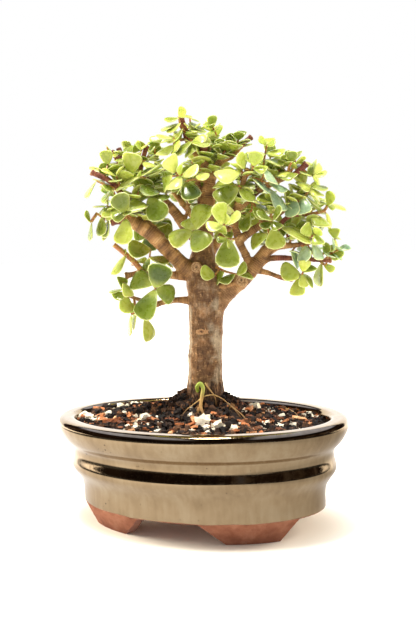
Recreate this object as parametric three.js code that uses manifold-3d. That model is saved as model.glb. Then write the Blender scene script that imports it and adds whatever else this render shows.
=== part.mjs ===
// Dwarf jade bonsai (Portulacaria afra) in an oval glazed pot.
// Millimetres, +Z up. The origin is on the surface that the pot stands on, under the middle
// of the pot, and X runs along the pot's long axis.

import * as THREE from 'three';
import { mergeVertices } from 'three/addons/utils/BufferGeometryUtils.js';
import Module from 'manifold-3d';

const wasm = await Module();
wasm.setup();

// Driving dimensions

const POT_HALF_LENGTH = 101.6;      // an 8 inch oval pot, over the rim
const POT_HALF_WIDTH = 72.2;
const FOOT_HEIGHT = 14.3;
const FOOT_START = 25;              // degrees round the pot from the end of its long axis
const FOOT_END = 75.5;
const FOOT_LEAN = 6.5;              // how much further in a foot's outside is at the bottom
const FOOT_DEPTH = 8;               // of a foot, towards the middle of the pot
const FOOT_CHAMFER = 9;             // degrees that the end near the pot's long axis slants
const FOOT_INNER_CHAMFER = 12;      // degrees that the other end slants
const FOOT_JOIN = 0.8;              // how far a foot reaches up into the pot's floor
const POT_SIDES = 40;               // flat sides that stand for the pot's round wall
const DRAIN_HOLE_RADIUS = 7;
const DRAIN_HOLE_X = 38;
const SCREEN_SIDE = 24;
const SCREEN_THICKNESS = 1.2;
const SCREEN_BAR = 2.4;
const SCREEN_HOLES = 3;             // along each side
const GAP = 0.3;                    // clearance between pieces that touch
const TREE_TURN = 0.403;            // radians from the pot's long axis to the tree's own X
const LEAF_THICKNESS = 0.13;        // of a leaf's length
const LEAF_WIDTH = 0.76;            // of a leaf's length
const LEAF_CURL = 0.08;             // how far a leaf's tip bends back, of its length
const LEAF_ROOT = 0.3;              // how far a leaf starts inside its stem
const EDGE_OF_SECTION = Math.cos(Math.PI / 6);
const LONGEST_LEAF_STALK = 3.5;     // a leaf further from its stem than this has a twig
const TIP_SHIFTS = [0, -3, 3, -6, 6]; // the ways to move a leaf's tip clear of a neighbour
const SMALLEST_WHOLE = 0.88;        // the part of a leaf that a limb has to leave
const STEM_RADIUS = 0.95;
const STEM_STEP = 6;                // length of a straight stretch of stem
const TWIG_RADIUS = 0.65;

// Outside of the pot from the foot line up, over the rim and down the inside to the floor,
// as the distance in from the rim's widest line and the height
const POT_FLOOR = 20.8;
const POT_PROFILE = [
  [16.1, FOOT_HEIGHT], [16, 20], [15.6, 26], [13.4, 31.5], [9.6, 36.8], [8.4, 40.2], [9.6, 46],
  [10, 50.8], [8.6, 53], [4.9, 55.8], [1.8, 60], [0.2, 65], [0.3, 68.4], [2.4, 71.1], [7, 72.4],
  [11.5, 71.4], [12.6, 68], [14.4, 56], [15.6, 44], [20, 30], [27, POT_FLOOR],
];
const INNER_WALL = POT_PROFILE.slice(-5);
const SOIL_EDGE_HEIGHT = 65;
const SOIL_MOUND = 15;              // how much higher the soil is at the trunk
const MOUND_SPREAD = 0.52;          // of the way from the trunk to the wall
const SOIL_LUMPS = 0.6;
const SOIL_RINGS = 6;
const SOIL_INSET = 13.5;            // of the soil's edge from the rim's widest line

// Limbs of the tree: centre line points with the radius there. X runs to the right of the
// tree's front, Y away from its front and Z up, and the front is the side it is trained for.
const LIMBS = {
  trunk: [
    [5, 0, 62, 15], [5, 0, 72, 15], [5, 0, 79, 13], [5, 0, 89, 11.5], [5.5, 0, 105, 11.1],
    [7, 0, 130, 11], [7.5, 0, 148, 11.4], [7, 0, 163, 11.6], [6.5, 0.5, 174, 9.2],
    [7, 1, 184, 7.2], [8, 2, 198, 6.4], [11, 3, 215, 4.8], [13, 3, 230, 4],
  ],
  left_main: [
    [5, -1, 164, 8], [-6, -3, 172, 5.6], [-13.5, -5, 180, 4.9], [-21, -7, 188, 4.9],
    [-29, -9, 196, 4.7], [-37, -10, 201, 4.2], [-43, -11, 204.5, 3.6], [-53, -12, 203, 3],
  ],

  left_upper: [
    [-20, -6, 191, 3], [-27, -5, 199, 2.5], [-33, -6, 206, 2.3], [-39, -9, 214, 2.1],
    [-46, -12, 222, 2], [-52, -14, 229, 2], [-64, -16, 235, 1.8],
  ],
  left_second: [
    [7, 2, 186, 4.5], [-4, 3, 197, 3.6], [-11, 4, 208, 3.4], [-20, 4, 217, 3], [-27, 4, 221, 2.6],
    [-34, 3, 228, 2.3], [-40, 2, 237, 1.9], [-45, 2, 246, 1.9], [-47, 2, 252, 1.8],
  ],
  left_stub_low: [[-38, 3, 234, 1.8], [-45, 2, 240, 1.8], [-49, 1, 246, 1.7], [-52, 1, 250, 1.7]],
  left_stub_high: [[-28, 4, 223, 2], [-33, 2, 232, 1.7], [-32, 1, 240, 1.6], [-28, 0, 253, 1.7]],
  left_riser: [[-6, 4, 201, 1.6], [-3, 5, 208, 1.3], [-2, 6, 222, 1.2]],
  pale_leader: [[8, 3, 203, 2.6], [6, 4, 216, 2.2], [4, 5, 232, 2], [2, 7, 243, 1.6]],
  top_leader: [
    [13, 3, 226, 3.8], [10, 2, 238, 3], [4, 1, 247, 2.4], [-1, 0, 255, 2.1], [-3, 0, 263, 2],
    [-5, 0, 272, 2],
  ],
  top_stub: [[8.5, 2, 241, 2.6], [9, -1, 247, 2.6], [11.5, -3, 253, 2.6]],
  left_lower: [
    [5, -1, 164, 4.5], [-6, -3, 165.5, 3], [-14, -4, 166.5, 2.8], [-24, -4, 168, 2.2],
    [-33, -3, 169.5, 2], [-40, -2, 168, 1.9], [-46, -2, 167, 2.3],
  ],
  lowest_left: [
    [3, -2, 148, 4.5], [-6, -3, 149.5, 2.6], [-14, -4, 149.8, 2], [-22, -5, 148.5, 1.9],
    [-28, -5, 147, 2], [-34, -5, 150, 1.5], [-40, -6, 152.5, 1.3], [-46, -7, 155, 1.4],
  ],
  right_main: [
    [8, 0, 137, 8.5], [15.5, -1, 148, 7.2], [24, -2, 156, 6.2], [32, -2, 162, 5.6],
    [39, -3, 169, 4.9], [45, -3, 177, 3.8], [51, -4, 183, 3.2], [58, -4, 183.5, 2.6],
    [65, -3, 183.5, 1.9], [71, -6, 184, 1.6], [79, -8, 188, 1.4],
  ],
  right_riser: [
    [38, -2, 168, 3.4], [35.5, -3, 177, 2.8], [31, -3, 187, 2.7], [29, -3, 196, 2.5],
    [28.5, -4, 205, 2.2], [31, -4, 214, 1.9], [34, -6, 224, 1.9], [38, -8, 235, 2],
  ],
  right_upper: [
    [29, -3, 207, 2.2], [38, 0, 214.5, 2.4], [44, 0, 220, 2.3], [50, -1, 223, 2.1],
    [60, -3, 227, 1.9], [70, -5, 231, 1.9], [77, -6, 237, 2.2],
  ],
  right_fork: [
    [31, -3, 188, 2.8], [39, -3, 193.5, 2.6], [48, -3, 199, 2.4], [55, -2, 202.5, 1.7],
    [62, 0, 207, 1.5], [68, 1, 212, 1.4], [74, 1, 215, 1.3], [80, -1, 222, 1.3],
  ],
  red_stem: [
    [51, -4, 183, 2.4], [54, -3, 190, 1.9], [58, -2, 197, 1.7], [65, -2, 203, 1.6],
    [72, -3, 203.5, 1.3],
  ],
  right_level: [
    [42, -2, 170, 2.6], [50, -1, 175, 2.2], [57, 0, 175.5, 2], [65, 1, 175, 1.8], [76, 1, 174, 1.6],
    [86, 1, 173, 1.6], [93, 1, 172.5, 1.6],
  ],
  right_low_twig: [[40, -2, 168, 2.2], [49, -2, 166, 1.8], [59, -2, 162, 1.5], [66, -3, 160, 1.3]],
  right_top: [
    [13, 3, 228, 3.2], [16, 3, 236, 2.4], [21, 3, 241, 2.2], [28, 3, 244, 2], [33, 3, 249, 1.8],
    [37, 2, 253, 1.8], [42, 2, 256.5, 1.8],
  ],
  bridge: [[9, -4, 158, 2.5], [18, -7, 158, 1.7], [26, -7, 159.5, 1.8], [31, -4, 161, 2.2]],
  right_knot: [[31, -2, 161, 4], [31.5, -9, 162, 4.2]],
  trunk_knot: [[4, -2, 170, 3.6], [2, -11.5, 171.5, 3.5]],
  back_low: [[7, 3, 158, 6], [9, 14, 168, 3.4], [11, 26, 180, 2.7], [12, 38, 194, 2.2], [11, 47, 208, 1.7]],
  back_right: [[9, 3, 178, 5], [17, 12, 188, 3], [27, 22, 200, 2.4], [38, 30, 212, 2], [47, 35, 224, 1.6]],
  back_left: [[8, 2, 196, 4], [-1, 12, 208, 2.4], [-10, 21, 220, 2], [-20, 28, 233, 1.7]],
  back_top: [[11, 3, 214, 3.4], [14, 13, 226, 2.2], [18, 21, 238, 1.9], [24, 27, 250, 1.5]],
  back_right_low: [[40, -2, 170, 3], [49, 9, 177, 2.2], [61, 18, 185, 1.9], [74, 24, 194, 1.6]],
  back_left_low: [[-13, -4, 180, 3.4], [-22, 7, 190, 2.4], [-33, 17, 199, 2], [-45, 24, 209, 1.6]],
  root_front: [[4, -8, 81, 3.4], [0, -16, 78, 2.4], [-6, -23, 74, 1.6]],
  root_left: [[-2, -4, 82, 3.4], [-12, -8, 78, 2.6], [-22, -12, 73, 1.8]],
  root_right: [[12, -4, 82, 3.4], [21, -8, 78.5, 2.4], [30, -13, 73.5, 1.5]],
  root_back: [[6, 8, 82, 3.8], [8, 18, 78.5, 2.8], [10, 28, 74, 1.8]],
  root_back_left: [[0, 6, 82, 3.4], [-9, 13, 78.5, 2.6], [-17, 21, 73.5, 1.7]],
};

// A young green root that loops out of the trunk's foot and down into the soil
const GREEN_ROOT = [
  [0.2, -9.6, 89, 1.2], [0, -14, 93.2, 1.25], [2, -15.8, 95.2, 1.3], [3.7, -16.2, 92.4, 1.25],
  [2.6, -17, 86.1, 1.15], [1.9, -19, 80.2, 1], [3.2, -21, 76.4, 0.95], [4.8, -23, 72.6, 0.9],
];

// Leafy shoots. The stem's points and each leaf's foot are in the tree's millimetres. A leaf's
// other numbers are the way it points, with its length, and how many degrees its blade is
// turned up from facing the front. The tone is from 0, dark, over 3, bright, to 4, blue.
const SHOOTS = [
  {
    name: 'front_cluster', tone: 1,
    stem: [[7, -3, 190], [3, -12, 193], [1, -22, 195]],
    leaves: [
      [1, -22, 194, -16, -1, -4, 40], [1, -22, 195, -3, 9, 9, 0], [2, -21, 195, 9, 4, 17, 45],
      [1, -23, 194, 7, -9, -10, 0],
    ],
  },
  {
    name: 'front_bright', tone: 3,
    stem: [[28, -4, 197], [24, -16, 198], [20, -26, 198]],
    leaves: [
      [20, -26, 199, -2, -6, 12, 40], [23, -24, 198, 0, -4, 6, 45], [24, -21, 198, 7, -6, 6, 60],
      [18, -27, 198, -8, -4, -2, 45], [21, -24, 197, -3, 7, -5, 0],
    ],
  },
  {
    name: 'front_pale', tone: 1,
    stem: [[30, -4, 191], [27, -14, 189], [23, -22, 189]],
    leaves: [
      [23, -22, 188, -1, -7, -17, 0], [25, -23, 189, -1, -3, -6, 55], [22, -22, 189, -6, -3, -1, 45],
      [25, -19, 189, -3, 7, 5, 35],
    ],
  },
  {
    name: 'trunk_side', tone: 1,
    stem: [[15, -8, 171], [21, -13, 168], [28, -16, 166]],
    leaves: [
      [14, -12, 166, -9, -6, 2, 25], [27, -15, 166, -10, -5, -4, 65], [19, -13, 166, -5, 6, -5, 55],
      [29, -16, 168, 5, -6, 4, 50], [30, -16, 166, 9, 4, -1, 65],
    ],
  },
  {
    name: 'limb_rosette', tone: 3,
    stem: [[45, -3, 201], [49, -12, 197], [52, -22, 200]],
    leaves: [
      [53, -15, 195, 1, -5, -13, 0], [50, -13, 191, -13, 6, -5, 45], [58, -13, 195, 21, 3, -7, 60],
      [51, -20, 198, -6, -5, -2, 50], [53, -20, 198, 3, -6, -3, 30], [51, -22, 200, -8, -6, 5, 70],
      [53, -22, 200, 4, -7, 7, 65],
    ],
  },
  {
    name: 'lower_right_cluster', tone: 2,
    stem: [[66, -2, 161], [70, -6, 162], [72, -10, 166]],
    leaves: [
      [69, -8, 164, -11, -8, 4, 30], [70, -7, 161, -4, -5, -10, 35], [72, -9, 164, 1, -3, -8, 30],
      [74, -8, 164, 6, 5, -7, 60], [72, -10, 166, 1, -6, 7, 0], [72, -9, 166, 8, 4, 4, 50],
    ],
  },
  {
    name: 'blue_right', tone: 4,
    stem: [[69, -2, 184], [73, -8, 183], [79, -8, 185]],
    leaves: [
      [73, -9, 182, 0, -7, -9, 40], [80, -8, 185, 5, -4, -11, 55], [65, -4, 179, 7, 7, -9, 50],
      [74, -6, 184, -3, 6, 3, 40], [80, -6, 185, 6, 8, -4, 55],
    ],
  },
  {
    name: 'right_end_low', tone: 2,
    stem: [[85, -1, 172], [87, -4, 170], [88, -7, 171]],
    leaves: [
      [86, -1, 171, -5, 0, -15, 70], [87, -3, 170, 6, -3, -4, 45], [87, 0, 178, 3, -6, 5, 35],
      [85, 2, 175, -6, 6, 5, 55],
    ],
  },
  {
    name: 'right_end', tone: 2,
    stem: [[91, 2, 173], [93, 0, 181], [95, 0, 187]],
    leaves: [
      [94, -1, 180, 3, -5, -6, 0], [93, -2, 188, 3, 0, -9, 65], [96, 1, 187, -1, 4, 8, 0],
      [95, 0, 187, 4, 2, 0, 65], [89, -2, 181, 5, -4, 0, 35],
    ],
  },
  {
    name: 'right_rosettes', tone: 3,
    stem: [[76, -8, 187], [78, -12, 189], [80, -14, 190]],
    leaves: [
      [75, -13, 190, -2, -5, 6, 15], [76, -12, 190, 4, 3, 4, 45], [82, -14, 189, 0, -7, 4, 10],
      [82, -14, 189, 0, -7, -5, 15], [80, -12, 190, 7, 6, -4, 65],
    ],
  },
  {
    name: 'red_stem_right', tone: 2,
    radius: 1.3,
    stem: [[73, -3, 203], [81, -3, 204], [88, -3, 206], [90, -2, 209]],
    leaves: [
      [72, -3, 201, -7, 9, -4, 45], [81, -6, 203, 6, -9, -7, 50], [89, 0, 204, 6, 7, -8, 55],
      [91, 0, 209, 11, 8, 1, 65], [91, 0, 209, 2, -8, 8, 45], [90, 0, 209, -3, 4, 4, 55],
      [89, 0, 209, 6, -4, -2, 55],
    ],
  },
  {
    name: 'silver_right', tone: 4,
    stem: [[69, 0, 203], [71, -6, 210], [73, -10, 214]],
    leaves: [
      [73, -10, 214, -1, -7, -10, 30], [67, -6, 215, -2, -7, -12, 50], [72, -6, 213, 7, 7, -2, 60],
      [71, -4, 213, -6, 8, 5, 55],
    ],
  },
  {
    name: 'orange_twigs_right', tone: 2,
    stem: [[74, 0, 214], [77, -2, 218], [80, -3, 222]],
    leaves: [
      [80, -3, 220, 5, -9, -4, 60], [79, -2, 218, 8, 6, -6, 65], [78, 0, 215, 10, 9, -9, 75],
      [81, -3, 225, 7, -8, -5, 70], [80, -4, 223, -9, -8, 0, 55], [77, 0, 218, -6, 8, 6, 60],
    ],
  },
  {
    name: 'upper_right_tip', tone: 3,
    stem: [[74, -6, 233], [78, -4, 229], [81, -2, 229]],
    leaves: [
      [81, -3, 229, -9, -5, 3, 65], [82, -2, 229, 7, -6, 1, 60], [82, -1, 230, 0, 5, 9, 65],
      [82, -3, 230, 3, -4, 6, 60], [79, 0, 227, 7, 6, -3, 55],
    ],
  },
  {
    name: 'upper_right_stub', tone: 2,
    stem: [[66, -7, 231], [64, -11, 233], [66, -13, 237]],
    leaves: [
      [65, -6, 236, -4, 7, 5, 60], [66, -8, 237, 1, -5, 7, 0], [69, -5, 237, 11, 7, 2, 70],
      [66, -9, 232, -8, -7, -3, 60], [57, -10, 229, 11, -8, 0, 65], [66, -3, 230, 10, 7, -4, 60],
    ],
  },
  {
    name: 'upper_mid_tip', tone: 3,
    stem: [[47, 0, 222], [48, 0, 230], [49, -4, 240], [51, -6, 250]],
    leaves: [
      [49, -6, 244, -10, -8, 1, 75], [51, -5, 244, 11, -6, 2, 65], [50, -6, 250, -4, -4, 4, 40],
      [51, -5, 250, 3, 4, 5, 40], [51, -7, 249, 5, -4, 2, 45], [49, -6, 240, 11, -6, -4, 65],
      [49, 0, 241, -5, 8, 3, 60], [48, 0, 237, 11, 9, -3, 65],
    ],
  },
  {
    name: 'pale_upper', tone: 3,
    stem: [[36, -6, 229], [40, -14, 232], [41, -18, 235]],
    leaves: [
      [42, -18, 235, 1, -6, 8, 0], [36, -14, 234, -5, -7, 8, 45], [41, -18, 233, 8, -4, 0, 45],
      [33, -14, 232, -16, -8, -2, 50], [41, -12, 231, 7, 6, 2, 50], [40, -14, 237, -5, 6, 7, 55],
    ],
  },
  {
    name: 'limb_b_cluster', tone: 1,
    stem: [[33, -6, 222], [32, -14, 222], [31, -16, 223]],
    leaves: [
      [29, -12, 224, -14, 7, 1, 60], [31, -16, 221, -15, -6, -6, 30], [32, -12, 221, -1, 8, -7, 50],
      [32, -10, 222, 8, 9, 3, 55], [33, -12, 220, 6, -9, -6, 50],
    ],
  },
  {
    name: 'blue_long', tone: 4,
    stem: [[44, -2, 221], [46, -12, 226], [48, -16, 230]],
    leaves: [
      [40, -14, 228, 12, -4, -10, 75], [51, -12, 221, 11, -5, -14, 60], [48, -15, 234, 7, -8, -10, 65],
      [51, -12, 224, 12, -3, -4, 65], [48, -12, 230, -5, 7, 4, 60],
    ],
  },
  {
    name: 'behind_limb_c', tone: 1,
    stem: [[39, 0, 214], [42, -5, 210], [38, -7, 206]],
    leaves: [
      [40, -3, 210, 7, -7, -8, 45], [37, -7, 206, -3, -4, -12, 50], [42, 0, 211, 12, 4, -3, 65],
      [40, 0, 209, -6, 8, 3, 50],
    ],
  },
  {
    name: 'top_left', tone: 2,
    stem: [[-2, -1, 260], [-5, -6, 263], [-6, -9, 269]],
    leaves: [
      [-6, -8, 269, -8, -7, -2, 65], [-4, -8, 271, 2, -5, 3, 25], [-5, -6, 266, -13, -6, -5, 75],
      [-5, -8, 265, -7, -9, -5, 70], [-4, -6, 260, -8, -8, -6, 70], [-4, -2, 261, -6, 7, -4, 55],
      [-5, -6, 270, 5, 5, 2, 60],
    ],
  },
  {
    name: 'top_right', tone: 1,
    stem: [[-1, 2, 262], [1, 5, 265], [1, 6, 270]],
    leaves: [
      [0, 4, 268, 8, -8, -6, 70], [0, 6, 271, 6, 6, -1, 65], [0, 2, 263, 10, -7, -3, 75],
      [0, 6, 263, 8, 9, -4, 70], [0, 7, 270, -3, 6, 5, 60],
    ],
  },
  {
    name: 'below_top_left', tone: 3,
    stem: [[-1.5, 0, 256], [-7, -10, 254], [-10, -14, 255]],
    leaves: [
      [-10, -14, 256, -10, -7, 0, 70], [-10, -12, 251, -10, -8, -6, 60], [-10, -12, 255, -7, 6, 0, 55],
      [-7, -8, 253, -1, 9, 6, 60], [-7, -12, 252, -2, -8, -6, 55],
    ],
  },
  {
    name: 'below_top_right', tone: 2,
    stem: [[1.5, -1, 251], [2, -8, 252], [2, -12, 253]],
    leaves: [
      [0, -6, 256, 7, 8, 3, 65], [5, -10, 254, 6, -4, 1, 45], [0, -12, 252, -8, -9, -6, 65],
      [1, -11, 251, 10, -9, -1, 70], [2, -8, 250, 6, 9, -2, 60], [0, -9, 251, -1, -9, -7, 55],
    ],
  },
  {
    name: 'cream_front', tone: 3,
    stem: [[9, 0, 236], [-1, -16, 233], [-6, -24, 230]],
    leaves: [
      [-9, -22, 232, -3, -9, 9, 25], [-11, -22, 230, -7, 8, -7, 50], [-5, -25, 230, -8, -8, -8, 50],
      [-4, -22, 230, 9, -9, 2, 45], [4, -18, 230, 7, -6, -1, 50], [-7, -24, 231, 1, -5, 5, 55],
    ],
  },
  {
    name: 'dark_round_front', tone: 0,
    stem: [[11, 1, 228], [1, -15, 228], [-3, -22, 226]],
    leaves: [
      [-3, -24, 226, 5, -8, -11, 15], [-2, -19, 226, 6, 6, -12, 35], [-4, -20, 226, -5, 9, -3, 55],
      [-1, -14, 229, 3, 9, 5, 55],
    ],
  },
  {
    name: 'left_stub_tuft', tone: 2,
    stem: [[-32, 0, 241], [-33, -6, 244], [-31, -8, 249]],
    leaves: [
      [-30, -8, 247, -4, -5, -2, 60], [-31, -8, 250, -3, -5, 3, 55], [-30, -7, 251, 2, 5, 3, 60],
      [-28, 0, 244, 6, 8, 5, 65], [-30, -8, 241, 7, -9, -3, 70], [-27, 0, 246, 2, 6, 6, 65],
    ],
  },
  {
    name: 'pale_shield', tone: 2,
    stem: [[-43, 0, 239], [-41, -6, 236], [-39, -10, 233]],
    leaves: [
      [-39, -10, 233, 2, -7, 13, 15], [-40, -8, 233, -6, 9, 6, 50], [-38, -8, 233, 4, 9, 5, 45],
      [-41, -4, 244, -1, 4, 7, 60], [-43, -6, 244, -3, -7, -2, 55],
    ],
  },
  {
    name: 'left_dark_pair', tone: 0,
    stem: [[-48, 2, 241], [-48, -4, 237], [-50, -6, 237]],
    leaves: [
      [-50, -6, 238, -8, -8, -2, 0], [-47, -8, 237, -9, -7, -4, 75], [-49, -2, 239, -5, 8, 5, 55],
      [-48, -4, 236, 1, -8, -7, 55],
    ],
  },
  {
    name: 'left_top_tuft', tone: 3,
    stem: [[-50, -1, 247], [-53, -3, 249], [-54, -3, 252]],
    leaves: [
      [-52, 0, 249, -5, -6, -1, 70], [-52, 0, 249, -1, 5, 4, 70], [-50, -2, 247, 4, -6, 1, 60],
    ],
  },
  {
    name: 'long_pale_pair', tone: 3,
    stem: [[-28, -2, 231], [-30, -10, 231], [-32, -15, 231]],
    leaves: [
      [-32, -15, 232, 13, 6, 7, 75], [-33, -15, 232, -16, 8, -5, 75], [-30, -8, 233, 11, 9, 5, 70],
      [-33, -10, 233, -6, 8, -1, 65], [-32, -16, 231, 0, -4, 2, 55],
    ],
  },
  {
    name: 'left_front_fan', tone: 1,
    stem: [[-37, -6, 203], [-40, -16, 206], [-41, -24, 208]],
    leaves: [
      [-41, -24, 209, -5, -7, 10, 0], [-41, -22, 208, 11, 7, 7, 40], [-42, -22, 208, -14, 8, 5, 50],
      [-43, -24, 206, -7, -4, -1, 35], [-43, -25, 206, 3, -5, 1, 25], [-42, -22, 204, -1, -7, -16, 30],
    ],
  },
  {
    name: 'far_left_tip', tone: 2,
    stem: [[-49, -16, 224], [-54, -18, 226], [-60, -18, 229]],
    leaves: [
      [-60, -16, 229, -8, -7, -10, 75], [-49, -14, 223, -9, -5, -7, 70], [-55, -16, 228, 4, -7, -5, 65],
      [-52, -12, 227, 2, 8, -2, 65], [-55, -14, 227, -7, 5, 4, 75],
    ],
  },
  {
    name: 'left_end', tone: 1,
    stem: [[-54, -12, 204], [-58, -13, 206], [-62, -13, 209]],
    leaves: [
      [-65, -12, 203, -2, -6, -11, 75], [-66, -12, 203, -2, -4, 7, 70], [-60, -12, 204, 1, -5, -10, 50],
      [-58, -9, 203, 2, 6, -11, 75], [-54, -12, 205, -2, -5, -12, 60], [-60, -11, 207, 1, 5, 5, 55],
      [-56, -14, 205, 4, -7, 4, 45],
    ],
  },
  {
    name: 'left_hanging_round', tone: 0,
    stem: [[-23, 3, 218], [-25, -8, 219], [-27, -14, 218]],
    leaves: [
      [-27, -15, 217, 8, -6, -14, 0], [-20, -12, 221, -11, -8, 0, 55], [-20, -4, 226, -9, 9, 4, 55],
      [-27, -10, 218, -8, 8, 0, 60], [-23, -8, 219, 8, -7, -2, 65],
    ],
  },
  {
    name: 'pendant_left', tone: 0,
    stem: [[-29, -6, 169], [-27, -12, 164], [-25, -16, 158]],
    leaves: [
      [-27, -14, 161, -15, 7, 5, 25], [-25, -16, 159, 5, -4, 15, 0], [-24, -16, 159, 12, 6, -6, 20],
      [-26, -16, 156, -8, -5, -17, 40],
    ],
  },
  {
    name: 'lowest_left', tone: 2,
    stem: [[-44, -6, 153], [-46, -8, 156], [-47, -8, 159]],
    leaves: [
      [-47, -9, 156, 3, -4, -13, 50], [-48, -9, 155, -4, -5, -2, 35], [-47, -8, 158, -1, 4, 9, 45],
      [-46, -9, 163, 5, -4, -9, 50], [-48, -8, 158, -8, -3, -1, 80],
    ],
  },
  {
    name: 'lowest_left_drop', tone: 2,
    stem: [[-40, -6, 152], [-39, -10, 147], [-38, -12, 142]],
    leaves: [
      [-42, -10, 142, -2, -4, -14, 75], [-40, -10, 142, -2, 2, -10, 70], [-33, -12, 139, 4, 2, -15, 55],
      [-39, -8, 148, -5, 5, -5, 45],
    ],
  },
  {
    name: 'left_middle', tone: 1,
    stem: [[-30, -1, 171], [-30, 0, 175], [-29, 0, 179]],
    leaves: [
      [-28, -2, 184, -14, -7, 0, 35], [-29, -2, 179, 12, -6, -4, 65], [-31, -2, 179, -3, -4, -8, 60],
      [-22, 2, 178, 8, 8, -4, 65], [-31, 2, 174, -7, 5, 4, 60],
    ],
  },
  {
    name: 'olive_stem_left', tone: 1,
    radius: 2,
    stem: [[-35, -4, 171], [-39, -4, 176], [-43, -4, 180], [-52, -5, 188]],
    leaves: [
      [-46, -4, 179, -9, -5, -10, 70], [-46, -4, 181, 2, -3, 3, 55], [-41, 0, 174, 4, 7, 0, 55],
    ],
  },
];

// Shoots on the tree's far side: the stem, the number of leaf pairs and the longest leaf
const BACK_SHOOTS = [
  {
    name: 'back_low', tone: 1, pairs: 6, leaf: 16,
    stem: [[11, 46, 202], [11, 53, 214], [8, 55, 232]],
  },
  {
    name: 'back_middle', tone: 2, pairs: 6, leaf: 15,
    stem: [[13, 30, 186], [20, 38, 196], [28, 46, 204]],
  },
  {
    name: 'back_right', tone: 1, pairs: 6, leaf: 15,
    stem: [[46, 35, 220], [52, 36, 232], [56, 30, 246]],
  },
  {
    name: 'back_left', tone: 1, pairs: 6, leaf: 14,
    stem: [[-17, 30, 230], [-24, 30, 242], [-24, 24, 254]],
  },
  {
    name: 'back_top', tone: 2, pairs: 6, leaf: 13,
    stem: [[20, 27, 246], [20, 24, 256], [16, 16, 266]],
  },
  {
    name: 'back_right_low', tone: 1, pairs: 6, leaf: 14,
    stem: [[70, 26, 190], [80, 24, 200], [84, 18, 212]],
  },
  {
    name: 'back_left_low', tone: 1, pairs: 6, leaf: 15,
    stem: [[-42, 22, 206], [-50, 28, 214], [-54, 24, 226]],
  },
  {
    name: 'back_crown', tone: 1, pairs: 6, leaf: 15,
    stem: [[-8, 19, 217], [-2, 32, 224], [2, 36, 240]],
  },
  {
    name: 'back_side', tone: 2, pairs: 6, leaf: 15,
    stem: [[33, 28, 205], [42, 42, 206], [50, 48, 212]],
  },
  {
    name: 'back_inner', tone: 0, pairs: 6, leaf: 15,
    stem: [[-28, 12, 195], [-28, 28, 198], [-24, 42, 210]],
  },
];
const BACK_SPLAY = [1.25, 0.75];    // radians from the stem, at the stem's foot and tip

// The largest loose grains on the soil: name, x, y, longest half axis, turn and colour
const GRAINS = [
  { name: 'perlite_grain_left', at: [-62, -22], size: 3.2, turn: 0.4, stone: true },
  { name: 'perlite_grain_front', at: [-8, -46], size: 3, turn: 1.9, stone: true },
  { name: 'perlite_grain_right', at: [46, -32], size: 2.8, turn: 2.6, stone: true },
  { name: 'bark_chip_front', at: [24, -42], size: 4.2, turn: 0.9, stone: false },
];

const vector = ([x, y, z]) => new THREE.Vector3(x, y, z);

// A closed geometry as a solid that can be joined and cut. One that was made inside out, from
// a profile that runs the other way round, has its faces turned.
function solid(geometry) {
  const plain = geometry.clone();
  plain.deleteAttribute('normal');
  plain.deleteAttribute('uv');
  const merged = mergeVertices(plain, 1e-4);
  const made = (triVerts) => new wasm.Manifold(new wasm.Mesh({
    numProp: 3,
    vertProperties: new Float32Array(merged.attributes.position.array),
    triVerts,
  }));
  const triVerts = new Uint32Array(merged.index.array);
  const body = made(triVerts);
  return body.volume() < 0 ? made(triVerts.reverse()) : body;
}

function join(solids) {
  return solids.reduce((whole, piece) => whole.add(piece));
}

// The biggest of a solid's separate lumps, without the crumbs that a cut can leave
function largest(body) {
  const lumps = body.decompose();
  return lumps.reduce((best, lump) => (lump.volume() > best.volume() ? lump : best));
}

function geometryOf(body) {
  const mesh = body.getMesh();
  const geometry = new THREE.BufferGeometry();
  geometry.setAttribute('position', new THREE.BufferAttribute(new Float32Array(mesh.vertProperties), 3));
  geometry.setIndex(new THREE.BufferAttribute(new Uint32Array(mesh.triVerts), 1));
  geometry.computeVertexNormals();
  return geometry;
}

function moveVertices(geometry, move) {
  const position = geometry.attributes.position;
  const point = new THREE.Vector3();
  for (let i = 0; i < position.count; i += 1) {
    point.fromBufferAttribute(position, i);
    const moved = move(point);
    position.setXYZ(i, moved.x, moved.y, moved.z);
  }
  return geometry;
}

// A smooth line through the points, and even steps along it
function centreLine(points, stepLength) {
  const curve = new THREE.CatmullRomCurve3(points.map(vector));
  const steps = Math.max(1, Math.round(curve.getLength() / stepLength));
  return { curve, steps, centres: curve.getSpacedPoints(steps) };
}

// A round tube along a smooth line through the points, as thick at each point as its radius
// says, and bigger all over and at both ends by extra
function tube(points, sides, stepLength, extra = 0) {
  const { curve, steps, centres } = centreLine(points, stepLength);
  const section = new THREE.Shape();
  for (let i = 0; i < sides; i += 1) {
    const angle = (2 * Math.PI * i) / sides;
    section[i ? 'lineTo' : 'moveTo'](Math.cos(angle), Math.sin(angle));
  }
  section.closePath();
  const geometry = new THREE.ExtrudeGeometry(section, { steps, bevelEnabled: false, extrudePath: curve });
  const radii = centres.map((_, i) => {
    const along = curve.getUtoTmapping(i / steps) * (points.length - 1);
    const before = Math.min(Math.floor(along), points.length - 2);
    return THREE.MathUtils.lerp(points[before][3], points[before + 1][3], along - before) + extra;
  });
  const endShift = { 0: -extra, [steps]: extra };
  moveVertices(geometry, (point) => {
    let ring = 0;
    for (let i = 1; i <= steps; i += 1) {
      if (point.distanceTo(centres[i]) < point.distanceTo(centres[ring])) {
        ring = i;
      }
    }
    return point.clone()
      .sub(centres[ring])
      .multiplyScalar(radii[ring])
      .add(centres[ring])
      .addScaledVector(curve.getTangentAt(ring / steps), endShift[ring] ?? 0);
  });
  return solid(geometry);
}

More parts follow.
